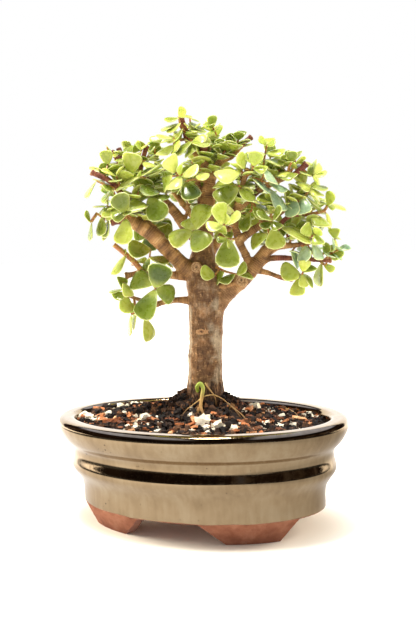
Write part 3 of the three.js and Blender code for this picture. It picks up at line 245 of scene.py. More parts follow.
# Limbs: centre line points with the radius there, in the tree's frame
LIMBS = {
    "trunk": [
        (5, 0, 62, 15), (5, 0, 72, 15), (5, 0, 79, 13.4), (5.2, 0, 89, 12.2), (5.7, 0, 105, 11.5),
        (7, 0, 130, 11.4), (7.5, 0, 148, 11.8), (7, 0, 163, 12), (6.5, 0.5, 174, 9.5),
        (7, 1, 184, 7.2), (8, 2, 198, 6.4), (11, 3, 215, 4.8), (13, 3, 230, 4),
    ],
    "left_main": [
        (5, -1, 164, 8), (-6, -3, 172, 5.6), (-13.5, -5, 180, 4.9), (-21, -7, 188, 4.9),
        (-29, -9, 196, 4.7), (-37, -10, 201, 4.2), (-43, -11, 204.5, 3.6), (-53, -12, 203, 3),
    ],
    "left_upper": [
        (-20, -6, 191, 3), (-27, -5, 199, 2.5), (-33, -6, 206, 2.3), (-39, -9, 214, 2.1),
        (-46, -12, 222, 2), (-52, -14, 229, 2), (-64, -16, 235, 1.8),
    ],
    "left_second": [
        (7, 2, 186, 4.5), (-4, 3, 197, 3.6), (-11, 4, 208, 3.4), (-20, 4, 217, 3), (-27, 4, 221, 2.6),
        (-34, 3, 228, 2.3), (-40, 2, 237, 1.9), (-45, 2, 246, 1.9), (-47, 2, 252, 1.8),
    ],
    "left_stub_low": [(-38, 3, 234, 1.8), (-45, 2, 240, 1.8), (-49, 1, 246, 1.7), (-52, 1, 250, 1.7)],
    "left_stub_high": [(-28, 4, 223, 2), (-33, 2, 232, 1.7), (-32, 1, 240, 1.6), (-28, 0, 253, 1.7)],
    "left_riser": [(-6, 4, 201, 1.6), (-3, 5, 208, 1.3), (-2, 6, 222, 1.2)],
    "pale_leader": [(8, 3, 203, 2.6), (6, 4, 216, 2.2), (4, 5, 232, 2), (2, 7, 243, 1.6)],
    "top_leader": [
        (13, 3, 226, 3.8), (10, 2, 238, 3), (4, 1, 247, 2.4), (-1, 0, 255, 2.1), (-3, 0, 263, 2),
        (-5, 0, 272, 2),
    ],
    "top_stub": [(8.5, 2, 241, 2.6), (9, -1, 247, 2.6), (11.5, -3, 253, 2.6)],
    "left_lower": [
        (5, -1, 164, 4.5), (-6, -3, 165.5, 3), (-14, -4, 166.5, 2.8), (-24, -4, 168, 2.2),
        (-33, -3, 169.5, 2), (-40, -2, 168, 1.9), (-46, -2, 167, 2.3),
    ],
    "lowest_left": [
        (3, -2, 148, 4.5), (-6, -3, 149.5, 2.6), (-14, -4, 149.8, 2), (-22, -5, 148.5, 1.9),
        (-28, -5, 147, 2), (-34, -5, 150, 1.5), (-40, -6, 152.5, 1.3), (-46, -7, 155, 1.4),
    ],
    "right_main": [
        (8, 0, 137, 8.5), (15.5, -1, 148, 7.2), (24, -2, 156, 6.2), (32, -2, 162, 5.6),
        (39, -3, 169, 4.9), (45, -3, 177, 3.8), (51, -4, 183, 3.2), (58, -4, 183.5, 2.6),
        (65, -3, 183.5, 1.9), (71, -6, 184, 1.6), (79, -8, 188, 1.4),
    ],
    "right_riser": [
        (38, -2, 168, 3.4), (35.5, -3, 177, 2.8), (31, -3, 187, 2.7), (29, -3, 196, 2.5),
        (28.5, -4, 205, 2.2), (31, -4, 214, 1.9), (34, -6, 224, 1.9), (38, -8, 235, 2),
    ],
    "right_upper": [
        (29, -3, 207, 2.2), (38, 0, 214.5, 2.4), (44, 0, 220, 2.3), (50, -1, 223, 2.1),
        (60, -3, 227, 1.9), (70, -5, 231, 1.9), (77, -6, 237, 2.2),
    ],
    "right_fork": [
        (31, -3, 188, 2.8), (39, -3, 193.5, 2.6), (48, -3, 199, 2.4), (55, -2, 202.5, 1.7),
        (62, 0, 207, 1.5), (68, 1, 212, 1.4), (74, 1, 215, 1.3), (80, -1, 222, 1.3),
    ],
    "red_stem": [
        (51, -4, 183, 2.4), (54, -3, 190, 1.9), (58, -2, 197, 1.7), (65, -2, 203, 1.6),
        (72, -3, 203.5, 1.3),
    ],
    "right_level": [
        (42, -2, 170, 2.6), (50, -1, 175, 2.2), (57, 0, 175.5, 2), (65, 1, 175, 1.8), (76, 1, 174, 1.6),
        (86, 1, 173, 1.6), (93, 1, 172.5, 1.6),
    ],
    "right_low_twig": [(40, -2, 168, 2.2), (49, -2, 166, 1.8), (59, -2, 162, 1.5), (66, -3, 160, 1.3)],
    "right_top": [
        (13, 3, 228, 3.2), (16, 3, 236, 2.4), (21, 3, 241, 2.2), (28, 3, 244, 2), (33, 3, 249, 1.8),
        (37, 2, 253, 1.8), (42, 2, 256.5, 1.8),
    ],
    "bridge": [(9, -4, 158, 2.5), (18, -7, 158, 1.7), (26, -7, 159.5, 1.8), (31, -4, 161, 2.2)],
    "right_knot": [(31, -2, 161, 4), (31.5, -9, 162, 4.2)],
    "trunk_knot": [(4, -2, 170, 3.6), (2, -11.5, 171.5, 3.5)],
    "back_low": [
        (7, 3, 158, 6), (9, 14, 168, 3.4), (11, 26, 180, 2.7), (12, 38, 194, 2.2), (11, 47, 208, 1.7),
    ],
    "back_right": [
        (9, 3, 178, 5), (17, 12, 188, 3), (27, 22, 200, 2.4), (38, 30, 212, 2), (47, 35, 224, 1.6),
    ],
    "back_left": [(8, 2, 196, 4), (-1, 12, 208, 2.4), (-10, 21, 220, 2), (-20, 28, 233, 1.7)],
    "back_top": [(11, 3, 214, 3.4), (14, 13, 226, 2.2), (18, 21, 238, 1.9), (24, 27, 250, 1.5)],
    "back_right_low": [(40, -2, 170, 3), (49, 9, 177, 2.2), (61, 18, 185, 1.9), (74, 24, 194, 1.6)],
    "back_left_low": [(-13, -4, 180, 3.4), (-22, 7, 190, 2.4), (-33, 17, 199, 2), (-45, 24, 209, 1.6)],
    "root_front": [(4, -8, 81, 3.4), (0, -16, 78, 2.4), (-6, -23, 74, 1.6)],
    "root_left": [(-2, -4, 82, 3.4), (-12, -8, 78, 2.6), (-22, -12, 73, 1.8)],
    "root_right": [(12, -4, 82, 3.4), (21, -8, 78.5, 2.4), (30, -13, 73.5, 1.5)],
    "root_back": [(6, 8, 82, 3.8), (8, 18, 78.5, 2.8), (10, 28, 74, 1.8)],
    "root_back_left": [(0, 6, 82, 3.4), (-9, 13, 78.5, 2.6), (-17, 21, 73.5, 1.7)],
}
# Leafy shoots: name, tone, stem and leaves. A leaf has its foot, the way it points with its
# length, and how many degrees its blade is turned up from facing the front.
SHOOTS = [
    ("front_cluster", 1,
     [(7, -3, 190), (3, -12, 193), (1, -22, 195)],
     [(1, -22, 194, -16, -1, -4, 40), (1, -22, 195, -3, 9, 9, 0), (2, -21, 195, 9, 4, 17, 45),
      (1, -23, 194, 7, -9, -10, 0)]),
    ("front_bright", 3,
     [(28, -4, 197), (24, -16, 198), (20, -26, 198)],
     [(20, -26, 199, -2, -6, 12, 40), (23, -24, 198, 0, -4, 6, 45), (24, -21, 198, 7, -6, 6, 60),
      (18, -27, 198, -8, -4, -2, 45), (21, -24, 197, -3, 7, -5, 0)]),
    ("front_pale", 1,
     [(30, -4, 191), (27, -14, 189), (23, -22, 189)],
     [(23, -22, 188, -1, -7, -17, 0), (25, -23, 189, -1, -3, -6, 55), (22, -22, 189, -6, -3, -1, 45),
      (25, -19, 189, -3, 7, 5, 35)]),
    ("trunk_side", 1,
     [(15, -8, 171), (21, -13, 168), (28, -16, 166)],
     [(14, -12, 166, -9, -6, 2, 25), (27, -15, 166, -10, -5, -4, 65), (19, -13, 166, -5, 6, -5, 55),
      (29, -16, 168, 5, -6, 4, 50), (30, -16, 166, 9, 4, -1, 65)]),
    ("limb_rosette", 1,
     [(45, -3, 201), (49, -12, 197), (52, -22, 200)],
     [(53, -15, 195, 1, -5, -13, 0), (50, -13, 191, -13, 6, -5, 45), (58, -13, 195, 21, 3, -7, 60),
      (51, -20, 198, -6, -5, -2, 50), (53, -20, 198, 3, -6, -3, 30), (51, -22, 200, -8, -6, 5, 70),
      (53, -22, 200, 4, -7, 7, 65)]),
    ("lower_right_cluster", 2,
     [(66, -2, 161), (70, -6, 162), (72, -10, 166)],
     [(69, -8, 164, -11, -8, 4, 30), (70, -7, 161, -4, -5, -10, 35), (72, -9, 164, 1, -3, -8, 30),
      (74, -8, 164, 6, 5, -7, 60), (72, -10, 166, 1, -6, 7, 0), (72, -9, 166, 8, 4, 4, 50)]),
    ("blue_right", 4,
     [(69, -2, 184), (73, -8, 183), (79, -8, 185)],
     [(73, -9, 182, 0, -7, -9, 40), (80, -8, 185, 5, -4, -11, 55), (65, -4, 179, 7, 7, -9, 50),
      (74, -6, 184, -3, 6, 3, 40), (80, -6, 185, 6, 8, -4, 55)]),
    ("right_end_low", 2,
     [(85, -1, 172), (87, -4, 170), (88, -7, 171)],
     [(86, -1, 171, -5, 0, -15, 70), (87, -3, 170, 6, -3, -4, 45), (87, 0, 178, 3, -6, 5, 35),
      (85, 2, 175, -6, 6, 5, 55)]),
    ("right_end", 2,
     [(91, 2, 173), (93, 0, 181), (95, 0, 187)],
     [(94, -1, 180, 3, -5, -6, 0), (93, -2, 188, 3, 0, -9, 65), (96, 1, 187, -1, 4, 8, 0),
      (95, 0, 187, 4, 2, 0, 65), (89, -2, 181, 5, -4, 0, 35)]),
    ("right_rosettes", 3,
     [(76, -8, 187), (78, -12, 189), (80, -14, 190)],
     [(75, -13, 190, -2, -5, 6, 15), (76, -12, 190, 4, 3, 4, 45), (82, -14, 189, 0, -7, 4, 10),
      (82, -14, 189, 0, -7, -5, 15), (80, -12, 190, 7, 6, -4, 65)]),
    ("red_stem_right", 2,
     [(73, -3, 203), (81, -3, 204), (88, -3, 206), (90, -2, 209)],
     [(72, -3, 201, -7, 9, -4, 45), (81, -6, 203, 6, -9, -7, 50), (89, 0, 204, 6, 7, -8, 55),
      (91, 0, 209, 11, 8, 1, 65), (91, 0, 209, 2, -8, 8, 45), (90, 0, 209, -3, 4, 4, 55),
      (89, 0, 209, 6, -4, -2, 55)]),
    ("silver_right", 4,
     [(69, 0, 203), (71, -6, 210), (73, -10, 214)],
     [(73, -10, 214, -1, -7, -10, 30), (67, -6, 215, -2, -7, -12, 50), (72, -6, 213, 7, 7, -2, 60),
      (71, -4, 213, -6, 8, 5, 55)]),
    ("orange_twigs_right", 2,
     [(74, 0, 214), (77, -2, 218), (80, -3, 222)],
     [(80, -3, 220, 5, -9, -4, 60), (79, -2, 218, 8, 6, -6, 65), (78, 0, 215, 10, 9, -9, 75),
      (81, -3, 225, 7, -8, -5, 70), (80, -4, 223, -9, -8, 0, 55), (77, 0, 218, -6, 8, 6, 60)]),
    ("upper_right_tip", 3,
     [(74, -6, 233), (78, -4, 229), (81, -2, 229)],
     [(81, -3, 229, -9, -5, 3, 65), (82, -2, 229, 7, -6, 1, 60), (82, -1, 230, 0, 5, 9, 65),
      (82, -3, 230, 3, -4, 6, 60), (79, 0, 227, 7, 6, -3, 55)]),
    ("upper_right_stub", 2,
     [(66, -7, 231), (64, -11, 233), (66, -13, 237)],
     [(65, -6, 236, -4, 7, 5, 60), (66, -8, 237, 1, -5, 7, 0), (69, -5, 237, 11, 7, 2, 70),
      (66, -9, 232, -8, -7, -3, 60), (57, -10, 229, 11, -8, 0, 65), (66, -3, 230, 10, 7, -4, 60)]),
    ("upper_mid_tip", 3,
     [(47, 0, 222), (48, 0, 230), (49, -4, 240), (51, -6, 250)],
     [(49, -6, 244, -10, -8, 1, 75), (51, -5, 244, 11, -6, 2, 65), (50, -6, 250, -4, -4, 4, 40),
      (51, -5, 250, 3, 4, 5, 40), (51, -7, 249, 5, -4, 2, 45), (49, -6, 240, 11, -6, -4, 65),
      (49, 0, 241, -5, 8, 3, 60), (48, 0, 237, 11, 9, -3, 65)]),
    ("pale_upper", 3,
     [(36, -6, 229), (40, -14, 232), (41, -18, 235)],
     [(42, -18, 235, 1, -6, 8, 0), (36, -14, 234, -5, -7, 8, 45), (41, -18, 233, 8, -4, 0, 45),
      (33, -14, 232, -16, -8, -2, 50), (41, -12, 231, 7, 6, 2, 50), (40, -14, 237, -5, 6, 7, 55)]),
    ("limb_b_cluster", 1,
     [(33, -6, 222), (32, -14, 222), (31, -16, 223)],
     [(29, -12, 224, -14, 7, 1, 60), (31, -16, 221, -15, -6, -6, 30), (32, -12, 221, -1, 8, -7, 50),
      (32, -10, 222, 8, 9, 3, 55), (33, -12, 220, 6, -9, -6, 50)]),
    ("blue_long", 4,
     [(44, -2, 221), (46, -12, 226), (48, -16, 230)],
     [(40, -14, 228, 12, -4, -10, 75), (51, -12, 221, 11, -5, -14, 60), (48, -15, 234, 7, -8, -10, 65),
      (51, -12, 224, 12, -3, -4, 65), (48, -12, 230, -5, 7, 4, 60)]),
    ("behind_limb_c", 1,
     [(39, 0, 214), (42, -5, 210), (38, -7, 206)],
     [(40, -3, 210, 7, -7, -8, 45), (37, -7, 206, -3, -4, -12, 50), (42, 0, 211, 12, 4, -3, 65),
      (40, 0, 209, -6, 8, 3, 50)]),
    ("top_left", 2,
     [(-2, -1, 260), (-5, -6, 263), (-6, -9, 269)],
     [(-6, -8, 269, -8, -7, -2, 65), (-4, -8, 271, 2, -5, 3, 25), (-5, -6, 266, -13, -6, -5, 75),
      (-5, -8, 265, -7, -9, -5, 70), (-4, -6, 260, -8, -8, -6, 70), (-4, -2, 261, -6, 7, -4, 55),
      (-5, -6, 270, 5, 5, 2, 60)]),
    ("top_right", 1,
     [(-1, 2, 262), (1, 5, 265), (1, 6, 270)],
     [(0, 4, 268, 8, -8, -6, 70), (0, 6, 271, 6, 6, -1, 65), (0, 2, 263, 10, -7, -3, 75),
      (0, 6, 263, 8, 9, -4, 70), (0, 7, 270, -3, 6, 5, 60)]),
    ("below_top_left", 3,
     [(-1.5, 0, 256), (-7, -10, 254), (-10, -14, 255)],
     [(-10, -14, 256, -10, -7, 0, 70), (-10, -12, 251, -10, -8, -6, 60), (-10, -12, 255, -7, 6, 0, 55),
      (-7, -8, 253, -1, 9, 6, 60), (-7, -12, 252, -2, -8, -6, 55)]),
    ("below_top_right", 2,
     [(1.5, -1, 251), (2, -8, 252), (2, -12, 253)],
     [(0, -6, 256, 7, 8, 3, 65), (5, -10, 254, 6, -4, 1, 45), (0, -12, 252, -8, -9, -6, 65),
      (1, -11, 251, 10, -9, -1, 70), (2, -8, 250, 6, 9, -2, 60), (0, -9, 251, -1, -9, -7, 55)]),
    ("cream_front", 3,
     [(9, 0, 236), (-1, -16, 233), (-6, -24, 230)],
     [(-9, -22, 232, -3, -9, 9, 25), (-11, -22, 230, -7, 8, -7, 50), (-5, -25, 230, -8, -8, -8, 50),
      (-4, -22, 230, 9, -9, 2, 45), (4, -18, 230, 7, -6, -1, 50), (-7, -24, 231, 1, -5, 5, 55)]),
    ("dark_round_front", 0,
     [(11, 1, 228), (1, -15, 228), (-3, -22, 226)],
     [(-3, -24, 226, 5, -8, -11, 15), (-2, -19, 226, 6, 6, -12, 35), (-4, -20, 226, -5, 9, -3, 55),
      (-1, -14, 229, 3, 9, 5, 55)]),
    ("left_stub_tuft", 2,
     [(-32, 0, 241), (-33, -6, 244), (-31, -8, 249)],
     [(-30, -8, 247, -4, -5, -2, 60), (-31, -8, 250, -3, -5, 3, 55), (-30, -7, 251, 2, 5, 3, 60),
      (-28, 0, 244, 6, 8, 5, 65), (-30, -8, 241, 7, -9, -3, 70), (-27, 0, 246, 2, 6, 6, 65)]),
    ("pale_shield", 2,
     [(-43, 0, 239), (-41, -6, 236), (-39, -10, 233)],
     [(-39, -10, 233, 2, -7, 13, 15), (-40, -8, 233, -6, 9, 6, 50), (-38, -8, 233, 4, 9, 5, 45),
      (-41, -4, 244, -1, 4, 7, 60), (-43, -6, 244, -3, -7, -2, 55)]),
    ("left_dark_pair", 0,
     [(-48, 2, 241), (-48, -4, 237), (-50, -6, 237)],
     [(-50, -6, 238, -8, -8, -2, 0), (-47, -8, 237, -9, -7, -4, 75), (-49, -2, 239, -5, 8, 5, 55),
      (-48, -4, 236, 1, -8, -7, 55)]),
    ("left_top_tuft", 3,
     [(-50, -1, 247), (-53, -3, 249), (-54, -3, 252)],
     [(-52, 0, 249, -5, -6, -1, 70), (-52, 0, 249, -1, 5, 4, 70), (-50, -2, 247, 4, -6, 1, 60)]),
    ("long_pale_pair", 3,
     [(-28, -2, 231), (-30, -10, 231), (-32, -15, 231)],
     [(-32, -15, 232, 13, 6, 7, 75), (-33, -15, 232, -16, 8, -5, 75), (-30, -8, 233, 11, 9, 5, 70),
      (-33, -10, 233, -6, 8, -1, 65), (-32, -16, 231, 0, -4, 2, 55)]),
    ("left_front_fan", 1,
     [(-37, -6, 203), (-40, -16, 206), (-41, -24, 208)],
     [(-41, -24, 209, -5, -7, 10, 0), (-41, -22, 208, 11, 7, 7, 40), (-42, -22, 208, -14, 8, 5, 50),
      (-43, -24, 206, -7, -4, -1, 35), (-43, -25, 206, 3, -5, 1, 25), (-42, -22, 204, -1, -7, -16, 30)]),
    ("far_left_tip", 2,
     [(-49, -16, 224), (-54, -18, 226), (-60, -18, 229)],
     [(-60, -16, 229, -8, -7, -10, 75), (-49, -14, 223, -9, -5, -7, 70),
      (-55, -16, 228, 4, -7, -5, 65), (-52, -12, 227, 2, 8, -2, 65), (-55, -14, 227, -7, 5, 4, 75)]),
    ("left_end", 1,
     [(-54, -12, 204), (-58, -13, 206), (-62, -13, 209)],
     [(-65, -12, 203, -2, -6, -11, 75), (-66, -12, 203, -2, -4, 7, 70),
      (-60, -12, 204, 1, -5, -10, 50), (-58, -9, 203, 2, 6, -11, 75), (-54, -12, 205, -2, -5, -12, 60),
      (-60, -11, 207, 1, 5, 5, 55), (-56, -14, 205, 4, -7, 4, 45)]),
    ("left_hanging_round", 0,
     [(-23, 3, 218), (-25, -8, 219), (-27, -14, 218)],
     [(-27, -15, 217, 8, -6, -14, 0), (-20, -12, 221, -11, -8, 0, 55), (-20, -4, 226, -9, 9, 4, 55),
      (-27, -10, 218, -8, 8, 0, 60), (-23, -8, 219, 8, -7, -2, 65)]),
    ("pendant_left", 0,
     [(-29, -6, 169), (-27, -12, 164), (-25, -16, 158)],
     [(-27, -14, 161, -15, 7, 5, 25), (-25, -16, 159, 5, -4, 15, 0), (-24, -16, 159, 12, 6, -6, 20),
      (-26, -16, 156, -8, -5, -17, 40)]),
    ("lowest_left", 2,
     [(-44, -6, 153), (-46, -8, 156), (-47, -8, 159)],
     [(-47, -9, 156, 3, -4, -13, 50), (-48, -9, 155, -4, -5, -2, 35), (-47, -8, 158, -1, 4, 9, 45),
      (-46, -9, 163, 5, -4, -9, 50), (-48, -8, 158, -8, -3, -1, 80)]),
    ("lowest_left_drop", 2,
     [(-40, -6, 152), (-39, -10, 147), (-38, -12, 142)],
     [(-42, -10, 142, -2, -4, -14, 75), (-40, -10, 142, -2, 2, -10, 70),
      (-33, -12, 139, 4, 2, -15, 55), (-39, -8, 148, -5, 5, -5, 45)]),
    ("left_middle", 1,
     [(-30, -1, 171), (-30, 0, 175), (-29, 0, 179)],
     [(-28, -2, 184, -14, -7, 0, 35), (-29, -2, 179, 12, -6, -4, 65), (-31, -2, 179, -3, -4, -8, 60),
      (-22, 2, 178, 8, 8, -4, 65), (-31, 2, 174, -7, 5, 4, 60)]),
    ("olive_stem_left", 1,
     [(-35, -4, 171), (-39, -4, 176), (-43, -4, 180), (-52, -5, 188)],
     [(-46, -4, 179, -9, -5, -10, 70), (-46, -4, 181, 2, -3, 3, 55), (-41, 0, 174, 4, 7, 0, 55)]),
]
# Shoots that the photograph does not show: name, tone, pairs of leaves, their length and the stem
BACK_SHOOTS = [
    ("back_low", 1, 6, 16, [(11, 46, 202), (11, 53, 214), (8, 55, 232)]),
    ("back_middle", 2, 6, 15, [(13, 30, 186), (20, 38, 196), (28, 46, 204)]),
    ("back_right", 1, 6, 15, [(46, 35, 220), (52, 36, 232), (56, 30, 246)]),
    ("back_left", 1, 6, 14, [(-17, 30, 230), (-24, 30, 242), (-24, 24, 254)]),
    ("back_top", 2, 6, 13, [(20, 27, 246), (20, 24, 256), (16, 16, 266)]),
    ("back_right_low", 1, 6, 14, [(70, 26, 190), (80, 24, 200), (84, 18, 212)]),
    ("back_left_low", 1, 6, 15, [(-42, 22, 206), (-50, 28, 214), (-54, 24, 226)]),
    ("back_crown", 1, 6, 15, [(-8, 19, 217), (-2, 32, 224), (2, 36, 240)]),
    ("back_side", 2, 6, 15, [(33, 28, 205), (42, 42, 206), (50, 48, 212)]),
    ("back_inner", 0, 6, 15, [(-28, 12, 195), (-28, 28, 198), (-24, 42, 210)]),
]


def linear(hex_colour):
    """An sRGB hex colour as the linear numbers that a shader wants."""
    channels = [int(hex_colour[i:i + 2], 16) / 255 for i in (1, 3, 5)]
    return [c / 12.92 if c <= 0.04045 else ((c + 0.055) / 1.055) ** 2.4 for c in channels] + [1]


def add(tree, kind, *inputs, sockets=None, stops=(), **settings):
    """Adds one shader node. The inputs that it shows are given in their order, and others by
    name as sockets. Each is a value, or the node or output that feeds it. Stops are the places
    and colours of a ramp."""
    made = tree.nodes.new("ShaderNode" + kind)
    for setting, value in settings.items():
        setattr(made, setting, value)
    shown = [socket for socket in made.inputs if socket.enabled]
    named = [(made.inputs[name], value) for name, value in (sockets or {}).items()]
    for socket, value in [*zip(shown, inputs), *named]:
        if isinstance(value, bpy.types.Node):
            value = next(output for output in value.outputs if output.enabled)
        if isinstance(value, bpy.types.NodeSocket):
            tree.links.new(value, socket)
        else:
            socket.default_value = linear(value) if isinstance(value, str) else value
    for i, (place, colour) in enumerate(stops):
        stop = made.color_ramp.elements[i] if i < 2 else made.color_ramp.elements.new(place)
        stop.position = place
        stop.color = linear(colour)
    return made


def emptied(owner):
    """The node tree of a material or of the world, with nothing in it."""
    owner.use_nodes = True
    owner.node_tree.nodes.clear()
    return owner.node_tree


def material_of(name, finish, *details):
    """A material whose finish adds its patterns and says what the shader reads."""
    material = bpy.data.materials.new(name)
    tree = emptied(material)
    place = add(tree, "TexCoord").outputs["Object"]
    shader = add(tree, "BsdfPrincipled", sockets=finish(tree, place, *details))
    add(tree, "OutputMaterial", shader)
    return material


def deselect():
    if bpy.context.object and bpy.context.object.mode != "OBJECT":
        bpy.ops.object.mode_set(mode="OBJECT")
    bpy.ops.object.select_all(action="DESELECT")


def pick(piece):
    deselect()
    piece.select_set(True)
    bpy.context.view_layer.objects.active = piece


def edit(piece, choose=None):
    """Opens a piece in edit mode with all of it selected, or only the faces that are chosen."""
    pick(piece)
    bpy.ops.object.mode_set(mode="EDIT")
    bpy.ops.mesh.select_mode(type="FACE")
    bpy.ops.mesh.select_all(action="DESELECT" if choose else "SELECT")
    if choose:
        bpy.ops.object.mode_set(mode="OBJECT")
        for face in piece.data.polygons:
            face.select = choose(face)
        bpy.ops.object.mode_set(mode="EDIT")


def close_edit():
    bpy.ops.object.mode_set(mode="OBJECT")


def apply_modifier(piece, kind, **settings):
    pick(piece)
    made = piece.modifiers.new(kind.lower(), kind)
    for setting, value in settings.items():
        setattr(made, setting, value)
    bpy.ops.object.modifier_apply(modifier=made.name)


def settle(piece):
    """Puts a piece's place, turn and size into its mesh."""
    pick(piece)
    bpy.ops.object.transform_apply(location=True, rotation=True, scale=True)


def turn_with_tree(piece):
    piece.rotation_euler = (0, 0, TREE_TURN)
    settle(piece)
    return piece


def join(parts):
    deselect()
    for part in parts:
        part.select_set(True)
    bpy.context.view_layer.objects.active = parts[0]
    if len(parts) > 1:
        bpy.ops.object.join()
    return bpy.context.view_layer.objects.active


def copy_of(blank, matrix):
    """A copy with its own mesh, placed by a matrix."""
    copied = blank.copy()
    copied.data = blank.data.copy()
    copied.matrix_world = matrix
    bpy.context.scene.collection.objects.link(copied)
    return copied


def outward(piece):
    edit(piece)
    bpy.ops.mesh.normals_make_consistent(inside=False)
    close_edit()


def points_of(piece):
    flat = np.empty(len(piece.data.vertices) * 3)
    piece.data.vertices.foreach_get("co", flat)
    return flat.reshape(-1, 3)


def move_points(piece, points):
    piece.data.vertices.foreach_set("co", np.ravel(points))
    piece.data.update()


def keep_number(piece, name, values):
    """Keeps a number for each of a mesh's points, or one for all, for its material to read."""
    attribute = piece.data.attributes.new(name, "FLOAT", "POINT")
    attribute.data.foreach_set("value", np.full(len(piece.data.vertices), values, np.float32))


def hand_over(piece, name, material, slot, nodes=()):
    """Names a finished piece and ties it to the frame."""
    pick(piece)
    piece.name = name
    piece.data.name = name
    piece.data.materials.clear()
    piece.data.materials.append(material)
    bpy.ops.object.shade_smooth()
    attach(piece, "root")
    if nodes:
        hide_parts(*nodes)


def smooth_line(points, step):
    """Points about every step along a smooth line through the given ones. What comes after x, y
    and z, such as a radius, changes smoothly too."""
    marks = [np.array(point, float) for point in points]
    marks = [2 * marks[0] - marks[1], *marks, 2 * marks[-1] - marks[-2]]
    line = []
    for a, b, c, d in zip(marks, marks[1:], marks[2:], marks[3:]):
        reach = [max(np.linalg.norm((q - p)[:3]), 1e-6) for p, q in ((a, b), (b, c), (c, d))]
        ta, tb = 0.0, math.sqrt(reach[0])
        tc = tb + math.sqrt(reach[1])
        td = tc + math.sqrt(reach[2])
        count = max(1, round(reach[1] / step))
        for t in np.linspace(tb, tc, count, endpoint=False):
            ab = a + (b - a) * (t - ta) / (tb - ta)
            bc = b + (c - b) * (t - tb) / (tc - tb)
            cd = c + (d - c) * (t - tc) / (td - tc)
            abc = ab + (bc - ab) * (t - ta) / (tc - ta)
            bcd = bc + (cd - bc) * (t - tb) / (td - tb)
            line.append(abc + (bcd - abc) * (t - tb) / (tc - tb))
    line.append(marks[-2])
    return np.array(line)


def tube(line, sides=4):
    """A round capped tube along points of x, y, z and radius, in the tree's frame."""
    curve = bpy.data.curves.new("tube", "CURVE")
    curve.dimensions = "3D"
    curve.bevel_depth = MM
    curve.bevel_resolution = sides
    curve.use_fill_caps = True
    spline = curve.splines.new("POLY")
    spline.points.add(len(line) - 1)
    for point, (x, y, z, radius) in zip(spline.points, line):
        point.co = (x * MM, y * MM, z * MM, 1)
        point.radius = radius
    made = bpy.data.objects.new("tube", curve)
    bpy.context.scene.collection.objects.link(made)
    pick(made)
    bpy.ops.object.convert(target="MESH")
    made = bpy.context.view_layer.objects.active
    edit(made)
    bpy.ops.mesh.remove_doubles(threshold=MM / 100)
    bpy.ops.mesh.normals_make_consistent(inside=False)
    close_edit()
    return made


def make_camera():
    camera = bpy.data.objects.new("camera", bpy.data.cameras.new("camera"))
    bpy.context.scene.collection.objects.link(camera)
    camera.data.sensor_width = SENSOR_SIZE
    camera.data.lens = FOCAL_PIXELS * SENSOR_SIZE / PHOTO_HEIGHT
    level = Matrix.Rotation(math.pi / 2 - CAMERA_PITCH, 4, "X")
    turned = Matrix.Rotation(TREE_TURN, 4, "Z") @ level @ Matrix.Rotation(CAMERA_ROLL, 4, "Z")
    camera.matrix_world = Matrix.Translation(CAMERA_PLACE) @ turned
    bpy.context.scene.camera = camera
    return camera


def make_studio():
    """Soft white light all round, with large lamps above, in front and behind on both sides. The
    glaze mirrors a dark room behind the camera, the white sweep behind the pot, and high bluish
    windows on both sides."""
    world = bpy.data.worlds.new("studio")
    bpy.context.scene.world = world
    tree = emptied(world)
    turned = add(tree, "Mapping", add(tree, "TexCoord").outputs["Generated"],
                 (0, 0, -TREE_TURN), vector_type="VECTOR")
    across, away, up = add(tree, "SeparateXYZ", turned).outputs
    level = add(tree, "VectorMath", add(tree, "CombineXYZ", across, away), operation="LENGTH")
    behind = add(tree, "Math", away, level, operation="DIVIDE")
    # Below a line it is white: at the floor in front and beside, half way up behind the pot
    room_foot = add(tree, "MapRange", behind, -0.97, -0.7, 0.03, -0.05)
    horizon = add(tree, "MapRange", behind, 0.62, 0.86, room_foot, 0.5, **SOFT_STEP)
    over_horizon = add(tree, "Math", up, horizon, operation="SUBTRACT")
    white_low = add(tree, "MapRange", over_horizon, -0.015, 0.015, 1, 0, **SOFT_STEP)
    left = add(tree, "MapRange", across, -0.35, -0.45)
    right = add(tree, "MapRange", across, 0.12, 0.2)
    sides = add(tree, "Math", left, right, operation="MAXIMUM")
    high = add(tree, "MapRange", up, 0.52, 0.6)
    windows = add(tree, "Math", sides, high, operation="MULTIPLY")
    # The room is dim, with a few paler things in it
    things = add(tree, "TexNoise", turned, 3.2, 3)
    room = add(tree, "ValToRGB", things, stops=[
        (0.4, "#150e0a"), (0.58, "#2a1d15"), (0.66, "#4a4036"), (0.74, "#53586a")])
    dark_or_white = add(tree, "Mix", white_low, room, "#ffffff", data_type="RGBA")
    mirrored = add(tree, "Mix", windows, dark_or_white, "#a8b6dc", data_type="RGBA")
    sheen = add(tree, "MapRange", away, -0.7, 0.3, 0.95, 1.7)
    for_gloss = add(tree, "Background", mirrored, sheen)
    soft_light = add(tree, "MapRange", away, -1, 1, SKY_FRONT, SKY_BACK)
    for_matt = add(tree, "Background", "#fffaf2", soft_light)
    for_camera = add(tree, "Background", "#ffffff", 1)
    rays = add(tree, "LightPath").outputs
    lighting = add(tree, "MixShader", rays["Is Glossy Ray"], for_matt, for_gloss)
    add(tree, "OutputWorld", add(tree, "MixShader", rays["Is Camera Ray"], lighting, for_camera))
    for name, place, size, power, colour in LAMPS:
        lamp = bpy.data.lights.new(name, "AREA")
        lamp.shape = "DISK"
        lamp.size = size
        lamp.energy = power
        lamp.color = linear(colour)[:3]
        holder = bpy.data.objects.new(name, lamp)
        bpy.context.scene.collection.objects.link(holder)
        holder.location = Matrix.Rotation(TREE_TURN, 3, "Z") @ Vector(place)
        toward = LAMPS_AIM - holder.location
        holder.rotation_euler = toward.to_track_quat("-Z", "Y").to_euler()
        # Only the lamp above is mirrored, as a bright line on the rim
        holder.visible_glossy = name == "overhead"


